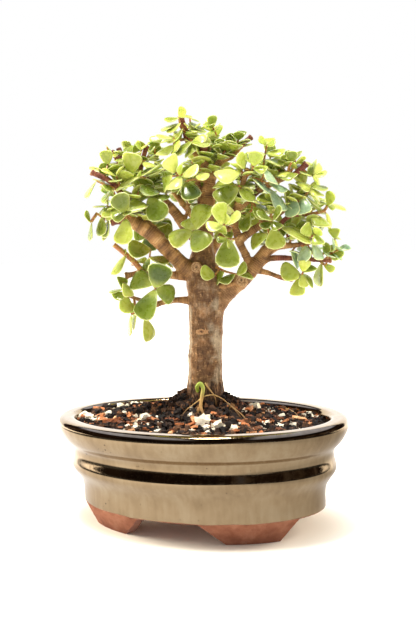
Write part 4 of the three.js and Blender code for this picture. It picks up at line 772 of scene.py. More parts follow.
def make_floor():
    deselect()
    bpy.ops.mesh.primitive_plane_add(size=FLOOR_SIZE, location=(0, 0, 0))
    floor = bpy.context.active_object
    floor.name = "floor"
    sweep = bpy.data.materials.new("white_paper_sweep")
    tree = emptied(sweep)
    place = add(tree, "TexCoord").outputs["Object"]
    mottle = add(tree, "TexNoise", place, 9, 2)
    colour = add(tree, "ValToRGB", mottle, stops=[(0.3, "#f4efe8"), (0.7, "#faf6f0")])
    # Painted light: the paper glows, not at all under the pot's foot and more and more away from it, so
    # that it turns as white as the background
    foot = add(tree, "Mapping", place, sockets={"Scale": (1 / 0.088, 1 / 0.058, 1)})
    distance = add(tree, "VectorMath", foot, operation="LENGTH")
    far = add(tree, "MapRange", distance, 0.92, 1.45, 0, 0.65, **SOFT_STEP)
    paper = add(tree, "BsdfPrincipled", colour, sockets={
        "Roughness": 0.9, "Specular IOR Level": 0.1, "Emission Color": "#ffffff",
        "Emission Strength": far})
    # Painted reflection: to glossy rays the paper is only a glow, brighter to the left and brightest
    # behind the pot, and that glow is what the glaze mirrors of it
    turned = add(tree, "Mapping", place, (0, 0, -TREE_TURN), vector_type="VECTOR")
    across, away, _ = add(tree, "SeparateXYZ", turned).outputs
    in_front = add(tree, "MapRange", across, -0.18, 0.18, 1.42, 0.64)
    behind = add(tree, "MapRange", away, -0.02, 0.4, 0, 1.5, **SOFT_STEP)
    mirrored_glow = add(tree, "Math", in_front, behind, operation="ADD")
    # Painted reflection: the glow fades out past set lines to the left and right, except behind the pot,
    # so there the glaze mirrors the dark room
    left_end = add(tree, "MapRange", across, -0.5, -0.33, 0.06, 1, **SOFT_STEP)
    right_end = add(tree, "MapRange", across, 0.55, 0.7, 1, 0.06, **SOFT_STEP)
    beside = add(tree, "Math", left_end, right_end, operation="MULTIPLY")
    beyond = add(tree, "MapRange", away, 0.3, 0.45)
    ends = add(tree, "Math", beside, beyond, operation="MAXIMUM")
    strength = add(tree, "Math", mirrored_glow, ends, operation="MULTIPLY")
    # The painted reflection: an emission that only glossy rays see
    mirrored = add(tree, "Emission", "#fffaf4", strength)
    glossy = add(tree, "LightPath").outputs["Is Glossy Ray"]
    add(tree, "OutputMaterial", add(tree, "MixShader", glossy, paper, mirrored))
    floor.data.materials.append(sweep)


def oval_reach(x, y, inset):
    """How far out a point is, as a share of the oval that lies an inset inside the rim."""
    return math.hypot(x / (POT_HALF_LENGTH - inset), y / (POT_HALF_WIDTH - inset))


def inset_at(x, y, insets):
    """The inset whose oval passes nearest to a point."""
    return min(insets, key=lambda inset: abs(oval_reach(x, y, inset) - 1))


def oval_rings(rings, segments):
    """A wall of ovals, each extruded from the last, open at both ends."""
    deselect()
    bpy.ops.mesh.primitive_circle_add(vertices=segments, radius=1, fill_type="NOTHING")
    piece = bpy.context.active_object
    bpy.ops.object.mode_set(mode="EDIT")
    inset, height = rings[0]
    bpy.ops.transform.resize(
        value=((POT_HALF_LENGTH - inset) * MM, (POT_HALF_WIDTH - inset) * MM, 1))
    bpy.ops.transform.translate(value=(0, 0, height * MM))
    for (was_inset, was_height), (inset, height) in zip(rings, rings[1:]):
        longer = (POT_HALF_LENGTH - inset) / (POT_HALF_LENGTH - was_inset)
        wider = (POT_HALF_WIDTH - inset) / (POT_HALF_WIDTH - was_inset)
        bpy.ops.mesh.extrude_edges_move()
        bpy.ops.transform.translate(value=(0, 0, (height - was_height) * MM))
        bpy.ops.transform.resize(value=(longer, wider, 1), center_override=(0, 0, height * MM))
    close_edit()
    return piece


def closed_rings(rings, segments):
    """A wall of ovals with its ends filled."""
    piece = oval_rings(rings, segments)
    edit(piece)
    bpy.ops.mesh.fill_holes(sides=0)
    close_edit()
    outward(piece)
    return piece


def shape_feet(pot):
    """Slants the feet's ends and leans the feet in, towards the bottom."""
    first, last = (math.radians(angle) for angle in FOOT_ANGLES)
    outer_slant, inner_slant = (math.radians(angle) for angle in FOOT_CHAMFERS)
    narrower = (last - first - outer_slant - inner_slant) / (last - first)
    for point in pot.data.vertices:
        x, y, z = point.co / MM
        if z > FOOT_TOP - 1:
            continue
        # The ring that a point belongs to follows from how far out it is on its own angle
        inset = inset_at(x, y, [FOOT_LINE_INSET, *UNDERSIDE_INSETS])
        angle = math.acos(min(1, abs(x) / (POT_HALF_LENGTH - inset)))
        angle = first + outer_slant + (angle - first) * narrower
        inset += FOOT_LEAN
        point.co = (math.copysign((POT_HALF_LENGTH - inset) * math.cos(angle), x) * MM,
                    math.copysign((POT_HALF_WIDTH - inset) * math.sin(angle), y) * MM, z * MM)


def make_pot(material):
    profile = smooth_line([(inset, height, 0) for inset, height in POT_OUTSIDE], PROFILE_STEP)
    underside = [(inset, FOOT_TOP) for inset in reversed(UNDERSIDE_INSETS)]
    pot = closed_rings(underside + [tuple(point[:2]) for point in profile], POT_SEGMENTS)
    foot_insets = np.linspace(FOOT_LINE_INSET, UNDERSIDE_INSETS[-1], 40)

    def under_a_foot(face):
        x, y, z = face.center / MM
        inset = inset_at(x, y, foot_insets)
        angle = math.degrees(math.atan2(abs(y) / (POT_HALF_WIDTH - inset),
                                        abs(x) / (POT_HALF_LENGTH - inset)))
        first, last = FOOT_ANGLES
        return abs(z - FOOT_TOP) < 0.01 and len(face.vertices) == 4 and first < angle < last

    edit(pot, under_a_foot)
    bpy.ops.mesh.extrude_region_move(TRANSFORM_OT_translate={"value": (0, 0, -FOOT_TOP * MM)})
    close_edit()
    shape_feet(pot)
    for x in (-DRAIN_HOLE_X, DRAIN_HOLE_X):
        deselect()
        bpy.ops.mesh.primitive_cylinder_add(
            vertices=40, radius=DRAIN_HOLE_RADIUS * MM, depth=DRAIN_BORE_DEPTH * MM,
            location=(x * MM, 0, DRAIN_BORE_MIDDLE * MM))
        bore = bpy.context.active_object
        settle(bore)
        apply_modifier(pot, "BOOLEAN", object=bore, operation="DIFFERENCE", solver="EXACT")
        bpy.data.objects.remove(bore)
    apply_modifier(pot, "BEVEL", width=POT_BEVEL * MM, segments=2, angle_limit=BEVELLED_EDGE)
    hand_over(pot, "pot_body", material, "pot_glaze", ["pot"])
    bpy.ops.object.shade_smooth_by_angle(angle=POT_EDGE)


def lustre_glaze(tree, place):
    """Stoneware glaze with a brown metallic lustre, fired to a mirror over red earthenware. The
    glaze is tan where it mirrors white and nearly black where it mirrors the room, with pinholes,
    faint runs and fine rubbed scratches. It was wiped off along the foot line, so the feet are
    bare, matt and brick red."""
    height = add(tree, "SeparateXYZ", place).outputs["Z"]
    wander = add(tree, "TexNoise", place, 60, 3)
    edge = add(tree, "MapRange", wander, 0.2, 0.8, 14.2 * MM, 15.2 * MM)
    above = add(tree, "Math", height, edge, operation="SUBTRACT")
    glazed = add(tree, "MapRange", above, -0.15 * MM, 0.15 * MM, **SOFT_STEP)
    # Glaze: runs are about 3 mm wide and four times as long, pinholes half a millimetre
    stretched = add(tree, "Mapping", place, sockets={"Scale": (1, 1, 0.22)})
    runs = add(tree, "TexNoise", stretched, 260, 3)
    clouds = add(tree, "TexNoise", place, 45, 4)
    lustre = add(tree, "ValToRGB", add(tree, "Mix", 0.35, clouds, runs), stops=[
        (0.32, "#9b8466"), (0.5, "#ab9474"), (0.68, "#b7a384")])
    spots = add(tree, "TexVoronoi", place, 300)
    rare = add(tree, "TexNoise", place, 70, 1)
    pinhole_size = add(tree, "MapRange", rare, 0.52, 0.75, 0, 0.16)
    pinhole = add(tree, "Math", spots, pinhole_size, operation="LESS_THAN")
    glaze_colour = add(tree, "Mix", pinhole, lustre, "#3a2a1c", data_type="RGBA")
    # Terracotta: a fine sandy body with a few darker specks and pale dust
    clay = add(tree, "ValToRGB", add(tree, "TexNoise", place, 120, 5, 0.6), stops=[
        (0.3, "#6f3e29"), (0.5, "#82503a"), (0.72, "#94664f")])
    sand = add(tree, "TexVoronoi", place, 900)
    speck = add(tree, "Math", sand, 0.12, operation="LESS_THAN")
    clay_colour = add(tree, "Mix", speck, clay, "#6a3a26", data_type="RGBA")
    rubbed = add(tree, "Mapping", place, sockets={"Rotation": (0, 0.5, 0.3), "Scale": (6, 1, 1)})
    scratches = add(tree, "TexNoise", rubbed, 180, 5, 0.7)
    shine = add(tree, "MapRange", scratches, 0.35, 0.8, 0.05, 0.2)
    ripple = add(tree, "TexNoise", stretched, 130, 1)
    ripples = add(tree, "Bump", sockets={
        "Height": ripple, "Distance": 0.5 * MM, "Strength": 0.12})
    pits = add(tree, "Bump", invert=True, sockets={
        "Height": pinhole, "Distance": 0.2 * MM, "Strength": 0.5, "Normal": ripples})
    bare = add(tree, "Math", 1, glazed, operation="SUBTRACT")
    sandy = add(tree, "Math", add(tree, "TexNoise", place, 1400, 3), bare, operation="MULTIPLY")
    return {
        "Base Color": add(tree, "Mix", glazed, clay_colour, glaze_colour, data_type="RGBA"),
        "Metallic": glazed,
        "Roughness": add(tree, "Mix", glazed, 0.9, shine),
        "Normal": add(tree, "Bump", sockets={
            "Height": sandy, "Distance": 0.3 * MM, "Strength": 0.6, "Normal": pits}),
    }


def grained(tree, tone, stops, grain, depth, strength, roughness):
    """What the shader reads for an opaque stuff: its tone picks the colour, and its grain
    stands out by a depth in millimetres."""
    relief = add(tree, "Bump", sockets={
        "Height": grain, "Distance": depth * MM, "Strength": strength})
    return {"Base Color": add(tree, "ValToRGB", tone, stops=stops), "Roughness": roughness,
            "Normal": relief}


def moulded_mesh(tree, place):
    """Polypropylene mesh, injection moulded: black-green, evenly fine-grained and half matt."""
    cloud = add(tree, "TexNoise", place, 400, 3)
    grain = add(tree, "TexNoise", place, 4000, 2)
    return grained(tree, cloud, [(0.3, "#191b18"), (0.7, "#2a2d28")], grain, 0.05, 0.4, 0.5)


def damp_compost(tree, place):
    """Bark compost, chopped and damp: nearly black brown, matt, with browner fibres."""
    cloud = add(tree, "TexNoise", place, 330, 6, 0.65)
    return grained(tree, cloud, [
        (0.3, "#16100b"), (0.48, "#281b13"), (0.62, "#40301f"), (0.78, "#6b4a2f"),
    ], add(tree, "TexNoise", place, 1100, 4), 0.6, 0.8, 0.85)


def crumb_compost(tree, place):
    """The loose crumbs of the same compost. The shade of each one is kept in its points."""
    own = add(tree, "Attribute", attribute_name="shade").outputs["Fac"]
    cloud = add(tree, "TexNoise", place, 700, 4)
    return grained(tree, add(tree, "Mix", 0.35, own, cloud), [
        (0.2, "#110c09"), (0.5, "#221711"), (0.68, "#3f2a1c"), (0.84, "#6f4c33"),
    ], add(tree, "TexNoise", place, 1500, 3), 0.4, 0.8, 0.8)


def popped_perlite(tree, place):
    """Perlite, popped by heat: chalk white, porous, with brown dirt in its hollows."""
    own = add(tree, "Attribute", attribute_name="shade").outputs["Fac"]
    cloud = add(tree, "TexNoise", place, 650, 5, 0.6)
    return grained(tree, add(tree, "Mix", 0.5, own, cloud), [
        (0.225, "#7d6c58"), (0.32, "#b3a68f"), (0.41, "#d8cfbc"), (0.55, "#ece5d4"),
    ], add(tree, "TexVoronoi", place, 1500), 0.4, 0.6, 0.9)


def split_bark(tree, place):
    """Pine bark, split into chips: orange-brown fibres that run along the chip."""
    own = add(tree, "Attribute", attribute_name="shade").outputs["Fac"]
    cloud = add(tree, "TexNoise", place, 500, 5)
    fibres = add(tree, "Mapping", place, sockets={"Scale": (1, 0.2, 1)})
    return grained(tree, add(tree, "Mix", 0.4, own, cloud), [
        (0.2, "#4a2c1c"), (0.42, "#8a5030"), (0.6, "#b97245"), (0.8, "#d8ab80"),
    ], add(tree, "TexNoise", fibres, 1600, 3), 0.4, 0.7, 0.75)


def growing_root(tree, place):
    """Living root skin: smooth and green where it meets the light, tan and fibrous below.
    How far along it a point is, from 0 to 1, is kept in its points."""
    age = add(tree, "Attribute", attribute_name="along").outputs["Fac"]
    cloud = add(tree, "MapRange", add(tree, "TexNoise", place, 500, 3), 0, 1, -0.08, 0.08)
    return grained(tree, add(tree, "Math", age, cloud, operation="ADD"), [
        (0.1, "#8fa63e"), (0.35, "#9fae4e"), (0.55, "#bd9c60"), (0.75, "#b08a58"),
        (0.95, "#8f6841"),
    ], add(tree, "TexNoise", place, 1800, 2), 0.15, 0.4, 0.5)


def grown_bark(tree, place):
    """Young bark of dwarf jade: thin and half matt. The trunk is brown, finely cracked along
    and across, with worn grey patches, newly bared orange ones and a dark stringy foot. The
    grey and orange patches along the trunk's sides are also painted highlight, where the sides
    catch the light. The limbs are yellower, with rings a little over a millimetre apart, and
    their young ends are red. Pruned ends are pale, with the wood's own rings. The points keep
    how far along its limb a point is, how thick the limb is there, and how near a pruned end or a
    patch it is."""
    along, girth, pruned, ring_radius, weathered_and_highlight, fresh_and_highlight, scar, young = (
        add(tree, "Attribute", attribute_name=name).outputs["Fac"] for name in (
            "along", "girth", "pruned", "ring_radius", "weathered_and_highlight", "fresh_and_highlight", "scar", "young"))
    thick = add(tree, "MapRange", girth, 4, 9, **SOFT_STEP)
    upright = add(tree, "Mapping", place, sockets={"Scale": (1, 1, 0.3)})
    cracks = add(tree, "TexNoise", upright, 900, 5, 0.6, sockets={"Distortion": 0.8})
    flat = add(tree, "Mapping", place, sockets={"Scale": (0.35, 0.35, 1)})
    creases = add(tree, "TexNoise", flat, 800, 4, 0.6, sockets={"Distortion": 1.2})
    blotches = add(tree, "TexNoise", place, 150, 5, 0.6)
    woven = add(tree, "Mix", 0.45, cracks, creases)
    trunk_tone = add(tree, "Mix", 0.3, woven, blotches)
    trunk_colour = add(tree, "ValToRGB", trunk_tone, stops=[
        (0.36, "#3c2816"), (0.45, "#5d4025"), (0.53, "#785533"), (0.66, "#a68155")])
    # Patches have ragged edges. The grey and orange ones on the trunk's sides are partly painted
    # highlight
    ragged = add(tree, "MapRange", blotches, 0.3, 0.7, -0.35, 0.35)
    for spot, first, last, most, stops in (
            (fresh_and_highlight, 0.15, 0.9, 0.7, [(0.36, "#5c3a22"), (0.48, "#96683f"), (0.62, "#c0905c")]),
            (weathered_and_highlight, 0, 0.55, 0.85, [(0.36, "#6a5843"), (0.5, "#908069"), (0.64, "#b0a28c")])):
        edge = add(tree, "Math", spot, ragged, operation="ADD")
        share = add(tree, "MapRange", edge, first, last, 0, most)
        patch = add(tree, "ValToRGB", trunk_tone, stops=stops)
        trunk_colour = add(tree, "Mix", share, trunk_colour, patch, data_type="RGBA")
    scar_edge = add(tree, "MapRange", woven, 0.3, 0.7, -0.4, 0.4)
    torn = add(tree, "Math", scar, scar_edge, operation="ADD")
    scar_colour = add(tree, "ValToRGB", torn, stops=[
        (0.08, "#7c5636"), (0.2, "#b88f62"), (0.62, "#a97c50"), (0.84, "#54361f")])
    scarred = add(tree, "MapRange", torn, 0.16, 0.3)
    trunk_colour = add(tree, "Mix", scarred, trunk_colour, scar_colour, data_type="RGBA")
    # The foot is darker and stringy up to a wandering line 95 mm over the table
    stringy = add(tree, "ValToRGB", cracks, stops=[
        (0.38, "#21160e"), (0.5, "#47301f"), (0.62, "#856243")])
    wander = add(tree, "MapRange", blotches, 0.3, 0.7, -4 * MM, 4 * MM)
    height = add(tree, "SeparateXYZ", place).outputs["Z"]
    over_table = add(tree, "Math", height, wander, operation="ADD")
    low = add(tree, "MapRange", over_table, 95.5 * MM, 93 * MM, 0, 0.9)
    trunk_colour = add(tree, "Mix", low, trunk_colour, stringy, data_type="RGBA")
    # Rings round the limbs
    wobble = add(tree, "Math", blotches, 1.2, operation="MULTIPLY")
    ring_place = add(tree, "Math", along, wobble, operation="ADD")
    ring_wave = add(tree, "Math", ring_place, math.tau / RING_SPACING, operation="MULTIPLY")
    rings = add(tree, "MapRange", add(tree, "Math", ring_wave, operation="SINE"), -1, 1)
    limb_tone = add(tree, "Mix", 0.22, blotches, rings)
    limb_colour = add(tree, "ValToRGB", limb_tone, stops=[
        (0.28, "#5a3c22"), (0.45, "#8a6239"), (0.6, "#b0834f"), (0.78, "#d3b07c")])
    bark_colour = add(tree, "Mix", thick, limb_colour, trunk_colour, data_type="RGBA")
    red_skin = add(tree, "ValToRGB", limb_tone, stops=[
        (0.3, "#5a2c24"), (0.5, "#7f4436"), (0.7, "#a3654a")])
    skin_colour = add(tree, "Mix", young, bark_colour, red_skin, data_type="RGBA")
    # The wood's own rings on a pruned face, round a dark pith
    specks = add(tree, "TexNoise", place, 900, 3)
    shifted = add(tree, "MapRange", specks, 0, 1, -1.6, 1.6)
    uneven = add(tree, "Math", ring_radius, shifted, operation="ADD")
    wood_wave = add(tree, "Math", uneven, math.tau / RING_SPACING, operation="MULTIPLY")
    wood_rings = add(tree, "MapRange", add(tree, "Math", wood_wave, operation="SINE"), -1, 1)
    wood = add(tree, "ValToRGB", wood_rings, stops=[(0.1, "#7d5a3c"), (0.9, "#b8956a")])
    past_pith = add(tree, "MapRange", ring_radius, 0.5, 0.9, **SOFT_STEP)
    cut_face = add(tree, "Mix", past_pith, "#4a3524", wood, data_type="RGBA")
    lengthwise = add(tree, "Bump", sockets={
        "Height": woven, "Distance": 1.6 * MM,
        "Strength": add(tree, "Math", thick, 0.5, operation="MULTIPLY")})
    crosswise = add(tree, "Bump", sockets={
        "Height": rings, "Distance": 0.2 * MM, "Normal": lengthwise,
        "Strength": add(tree, "Math", 1, thick, operation="SUBTRACT")})
    return {
        "Base Color": add(tree, "Mix", pruned, skin_colour, cut_face, data_type="RGBA"),
        "Roughness": 0.62,
        "Normal": add(tree, "Bump", sockets={
            "Height": add(tree, "TexNoise", place, 1500, 3), "Distance": 0.2 * MM,
            "Strength": 0.4, "Normal": crosswise}),
    }


def jade_leaf(tree, place, face, deep, young):
    """A jade plant's leaf, grown: fleshy and waxy, so it is satin with soft glints and lets a
    little light through. Its face has a paler foot and grows paler towards a thin pale rim.
    The rim is partly the leaf's own pale margin and partly painted highlight, where the edge
    catches the back light. The paler band inside it is painted highlight. How far a point
    is from the middle to the rim, how far along its leaf it is and its leaf's own shade are
    kept in the points. The stem's points have a woody number of 1."""
    rim, reach, shade, woody = (
        add(tree, "Attribute", attribute_name=name).outputs["Fac"]
        for name in ("rim", "reach", "shade", "woody"))
    cloud = add(tree, "TexNoise", place, 320, 3)
    tone = add(tree, "Mix", 0.3, shade, cloud)
    colour = add(tree, "ValToRGB", tone, stops=[(0.15, deep), (0.5, face), (0.9, young)])
    # The paler foot, then a paler band inside the rim that is painted highlight, then the rim, partly
    # its own pale margin and partly painted highlight
    for number, first, last, most, paler in (
            (reach, 0.45, 0, 0.65, "#c6cf6a"), (rim, 0.55, 0.95, 0.25, young),
            (rim, 0.92, 0.985, 0.8, "#e6ecac")):
        share = add(tree, "MapRange", number, first, last, 0, most, **SOFT_STEP)
        colour = add(tree, "Mix", share, colour, paler, data_type="RGBA")
    stem = add(tree, "ValToRGB", add(tree, "TexNoise", place, 700, 3), stops=[
        (0.3, "#8a4f33"), (0.5, "#a8713f"), (0.7, "#a9a04e")])
    return {
        "Base Color": add(tree, "Mix", woody, colour, stem, data_type="RGBA"),
        "Roughness": add(tree, "MapRange", cloud, 0, 1, 0.2, 0.36),
        "Normal": add(tree, "Bump", sockets={
            "Height": add(tree, "TexNoise", place, 500, 2), "Distance": 0.25 * MM,
            "Strength": 0.3}),
        "Subsurface Weight": 0.25, "Subsurface Radius": (0.6, 1, 0.2),
        "Subsurface Scale": 2 * MM, "Specular IOR Level": 0.55,
    }


def soil_height(x, y):
    """Height of the soil: a low mound round the trunk, with small lumps, as in the CAD. Its edge
    is 1.5 mm higher than the CAD's, which leaves out the loose crumbs."""
    oval = oval_reach(x, y, SOIL_INSET)
    lumps = math.sin(0.33 * x + 1) * math.cos(0.41 * y) + 0.6 * math.sin(0.71 * x - 0.53 * y)
    free = max(0, 1 - oval ** 6)
    mound = SOIL_MOUND * math.exp(-((oval / MOUND_SPREAD) ** 2))
    return SOIL_EDGE_HEIGHT + mound + SOIL_LUMPS * lumps * free


def on_soil(camera, column, row):
    """The point of the soil that a pixel of the photograph shows, in millimetres."""
    through = Vector((column - PHOTO_WIDTH / 2, PHOTO_HEIGHT / 2 - row, -FOCAL_PIXELS))
    way = (camera.matrix_world.to_3x3() @ through).normalized()
    for reach in np.arange(*CAMERA_TO_SOIL):
        x, y, z = camera.location / MM + way * float(reach)
        if oval_reach(x, y, SOIL_INSET) < SOIL_COVERED and z < soil_height(x, y):
            return x, y
    return None


def grains_seen(camera, seen, lower, rise, tilt, dice):
    """Places on the soil of grains that the photograph shows, given by the column, row and size
    in pixels. Each one rests where its foot is seen, which is lower than its middle. One whose
    foot is seen past the soil's edge is looked for a few pixels further down."""
    places = []
    for column, row, pixels in seen:
        tried = (on_soil(camera, column, row + lower * pixels + down) for down in range(0, 9, 2))
        found = next(filter(None, tried), None)
        if found:
            places.append((*found, rise, pixels * MM_PER_PIXEL, dice.uniform(0, math.tau),
                           dice.uniform(-tilt, tilt), dice.uniform(0.4, 1)))
    return places


def make_soil(material):
    """A closed bed: its bottom, the side that follows the pot's wall, and a cloddy top."""
    step = (POT_HALF_WIDTH - SOIL_INSET) / SOIL_RINGS
    top = [(SOIL_INSET + step * i, SOIL_EDGE_HEIGHT) for i in range(SOIL_RINGS)]
    bed = closed_rings(SOIL_SIDE + top, SOIL_SEGMENTS)
    points = points_of(bed) / MM
    for i, (x, y, z) in enumerate(points):
        if z > SOIL_EDGE_HEIGHT - 0.01:
            clods = noise.fractal(Vector((x, y, 0)) / CLOD_SIZE, 0.8, 2.0, 4)
            flat_edge = min(1, 12 * (1 - oval_reach(x, y, SOIL_INSET)))
            points[i, 2] = soil_height(x, y) + CLOD_HEIGHT * clods * flat_edge
    move_points(bed, points * MM)
    hand_over(bed, "soil_bed", material, "soil", ["soil"])


def broken_cube(name, cuts, knocked, reshape, **settings):
    """A blank one unit across: a cube that is subdivided and reshaped, and its points knocked."""
    deselect()
    bpy.ops.mesh.primitive_cube_add(size=1)
    piece = bpy.context.active_object
    piece.name = name
    edit(piece)
    bpy.ops.mesh.subdivide(number_cuts=cuts)
    reshape(**settings)
    close_edit()
    move_points(piece, [knocked(*point) for point in points_of(piece)])
    return piece


def lump(name, roughness, seed, cuts=1, roundness=0.75):
    """A rounded lump."""
    def knocked(x, y, z):
        knock = noise.noise_vector(Vector((x, y, z)) * 2.3 + Vector((seed, 0, 0)))
        return (x, y, z) + roughness * np.array(knock)

    return broken_cube(name, cuts, knocked, bpy.ops.transform.tosphere, value=roundness)


def splinter(name, seed):
    """A chip of bark: a slab with a ragged outline and a slight bend."""
    def knocked(x, y, z):
        knock = noise.noise_vector(Vector((x * 3, y * 6, seed)))
        return (x, y * (1 - 1.1 * x * x), z + 0.1 * x * x) + 0.06 * np.array(knock)

    return broken_cube(name, 2, knocked, bpy.ops.transform.resize, value=(1, 0.42, 0.2))


def scattered(blanks, places, name, material, slot):
    """Copies of the blanks, one at each place: x, y, how high its middle is over the soil in
    its own lengths, its length, its turn and tilt, and its shade."""
    copies = []
    for i, (x, y, rise, size, turn, tilt, shade) in enumerate(places):
        place = Vector((x, y, soil_height(x, y) + rise * size)) * MM
        turned = Euler((tilt, tilt * 0.6, turn)).to_matrix().to_4x4()
        matrix = Matrix.Translation(place) @ turned @ Matrix.Scale(size * MM, 4)
        copied = copy_of(blanks[i % len(blanks)], matrix)
        keep_number(copied, "shade", shade)
        copies.append(copied)
    whole = join(copies)
    settle(whole)
    outward(whole)
    hand_over(whole, name, material, slot)
    bpy.ops.object.shade_smooth_by_angle(angle=BROKEN_EDGE)


def in_tree_frame(x, y):
    return Matrix.Rotation(-TREE_TURN, 2) @ Vector((x, y))


def clear_of_roots(place, roots):
    """Whether a grain stays below the roots that run over the soil: x, y, rise and size first."""
    x, y, rise, size = place[:4]
    at = in_tree_frame(x, y)
    top = soil_height(x, y) + (rise + 0.5) * size
    aside = np.abs(roots[:, 0] - at.x) < ROOT_CLEARANCE
    before = roots[:, 1] - at.y
    near = aside & (before > -ROOT_CLEARANCE) & (before < 3 * ROOT_CLEARANCE)
    return not near.any() or roots[near, 2].min() > top + 1


def random_places(dice, count, size, rise, shade):
    """Seeded places all over the soil, outside the trunk's foot. The size and shade are given by
    their low and high."""
    places = []
    while len(places) < count:
        angle = dice.uniform(0, math.tau)
        oval = math.sqrt(dice.random()) * GRAINS_REACH
        x = oval * (POT_HALF_LENGTH - SOIL_INSET) * math.cos(angle)
        y = oval * (POT_HALF_WIDTH - SOIL_INSET) * math.sin(angle)
        if (in_tree_frame(x, y) - Vector((TRUNK_X, 0))).length > TRUNK_FOOT_RADIUS:
            places.append((x, y, rise, dice.uniform(*size), dice.uniform(0, math.tau),
                           dice.uniform(-0.6, 0.6), dice.uniform(*shade)))
    return places


def heaped_places(dice):
    """Places of the crumbs against the trunk, piled lower the further out they lie."""
    places = []
    front, back = HEAP_HEIGHTS
    for _ in range(HEAP_CRUMBS):
        angle = dice.uniform(0, math.tau)
        out = TRUNK_FOOT_RADIUS - 2.5 + HEAP_REACH * dice.random() ** 1.3
        place = Matrix.Rotation(TREE_TURN, 2) @ Vector((TRUNK_X + out * math.cos(angle),
                                                        out * math.sin(angle)))
        size = dice.uniform(1.2, 3.2)
        highest = front + (back - front) * min(1, max(0, 0.9 + math.sin(angle)))
        highest *= 1 - max(0, out - TRUNK_FOOT_RADIUS) / HEAP_REACH
        places.append((*place, dice.uniform(0, highest / size), size,
                       dice.uniform(0, math.tau), dice.uniform(-0.8, 0.8), dice.uniform(0.2, 1)))
    return places


def make_grains(camera, compost, perlite, bark):
    dice = random.Random(11)
    lumps = [lump("crumb_blank", 0.5, seed, roundness=0.3) for seed in (1.5, 4.1, 7.7, 9.2)]
    fibres = [splinter("fibre_blank", seed) for seed in (5.2, 8.8)]
    stones = [lump("stone_blank", 0.4, seed, cuts=2, roundness=0.6) for seed in (2.5, 5.3, 8.1)]
    chips = [splinter("chip_blank", seed) for seed in (1.2, 3.9, 6.4)]
    roots = np.concatenate([smooth_line(points, 1) for points in [*THIN_ROOTS, GREEN_ROOT]])
    turned = roots[:, :2] @ np.array(Matrix.Rotation(-TREE_TURN, 2))
    over = np.array([z > soil_height(x, y) + 1.5 for (x, y), z in zip(turned, roots[:, 2])])
    roots = roots[over]

    def kept(places):
        return [place for place in places if clear_of_roots(place, roots)]

    # Every third crumb of the heap is a fibre, which is longer and lies flatter
    heap = kept(heaped_places(dice))
    longer = (1, 1, FIBRE_LENGTH)
    heap = [(x, y, rise / longer[i % 3] ** 2, size * longer[i % 3], *turns)
            for i, (x, y, rise, size, *turns) in enumerate(heap)]
    scattered([lumps[0], lumps[1], fibres[0], lumps[2], lumps[3], fibres[1]], heap,
              "heaped_crumbs", compost, "soil")
    piled = [(x, y, dice.uniform(0, 0.6), *rest)
             for x, y, _, *rest in random_places(dice, *LOOSE_CRUMBS)]
    clods = [(x + dice.uniform(-4, 4), y + dice.uniform(-3, 3), dice.uniform(0.1, 0.8), 0.6 * size,
              dice.uniform(0, math.tau), dice.uniform(-0.6, 0.6), dice.uniform(0.3, 1))
             for x, y, size in CLODS * 4]
    scattered(lumps, kept(piled + clods), "soil_crumbs", compost, "soil")
    seen = grains_seen(camera, PERLITE_SEEN, 0.25, 0.35, 0.4, dice)
    scattered(stones, kept(seen + random_places(dice, *LOOSE_PERLITE)),
              "perlite_grains", perlite, "perlite")
    # The chips that are seen lie about along the front
    seen = [(*place[:4], TREE_TURN + 0.3 * math.sin(place[4]), *place[5:])
            for place in grains_seen(camera, BARK_SEEN, 0.1, 0.25, 0.35, dice)]
    scattered(chips, kept(seen + random_places(dice, *LOOSE_CHIPS)),
              "bark_chips", bark, "bark_chip")
    for blank in lumps + fibres + stones + chips:
        bpy.data.objects.remove(blank)


def make_large_grains(perlite, bark):
    """The four largest loose grains, each in the place of its CAD node."""
    for name, x, y, half, turn, stone in LARGE_GRAINS:
        if stone:
            grain, shape, middle = lump(name, 0.16, half, cuts=5), (1, 0.8, 0.75), 0.225
        else:
            grain, shape, middle = splinter(name, half), (1, 1, 1), 0.12
            edit(grain)
            bpy.ops.mesh.subdivide(number_cuts=1, smoothness=0.5)
            close_edit()
        place = Vector((x, y, soil_height(x, y) + middle * half)) * MM
        grain.matrix_world = (Matrix.Translation(place) @ Matrix.Rotation(turn, 4, "Z")
                              @ Matrix.Diagonal((*(Vector(shape) * 2 * half * MM), 1)))
        settle(grain)
        keep_number(grain, "shade", 0.8)
        hand_over(grain, name + "_detail", perlite if stone else bark,
                  "perlite" if stone else "bark_chip", [name])


def nearness(points, spots):
    """How near each point is to the middle of a spot, from 0 at its edge to 1."""
    nearest = np.zeros(len(points))
    for x, y, z, half_width, half_height in spots:
        offset = points - (x, y, z)
        aside = np.hypot(offset[:, 0], offset[:, 1]) / half_width
        spread = np.hypot(aside, offset[:, 2] / half_height)
        nearest = np.maximum(nearest, np.clip(1 - spread, 0, 1))
    return nearest


def prune(lines, points, out):
    """Makes each pruned end slightly hollow, with a callus ring round it. Gives which points lie
    on a cut face, and how far from its middle those near one are."""
    pruned = np.zeros(len(points))
    ring_radius = np.full(len(points), 5.0)
    for name in PRUNED:
        line = lines[name]
        *end, radius = line[-1]
        axis = line[-1, :3] - line[-3, :3]
        axis /= np.linalg.norm(axis)
        offset = points - end
        ahead = offset @ axis
        aside = np.linalg.norm(offset - ahead[:, None] * axis, axis=1)
        near = (np.abs(ahead) < 2.5) & (aside < radius * 1.3)
        face = near & (ahead > -0.55) & (aside < radius * 0.9)
        pruned[face] = 1
        ring_radius[near] = aside[near]
        points[face & (aside < radius * 0.6)] -= 0.5 * axis
        callus = near & (ahead > -2) & (aside >= radius * 0.6)
        points[callus] += 0.35 * out[callus]
    return pruned, ring_radius


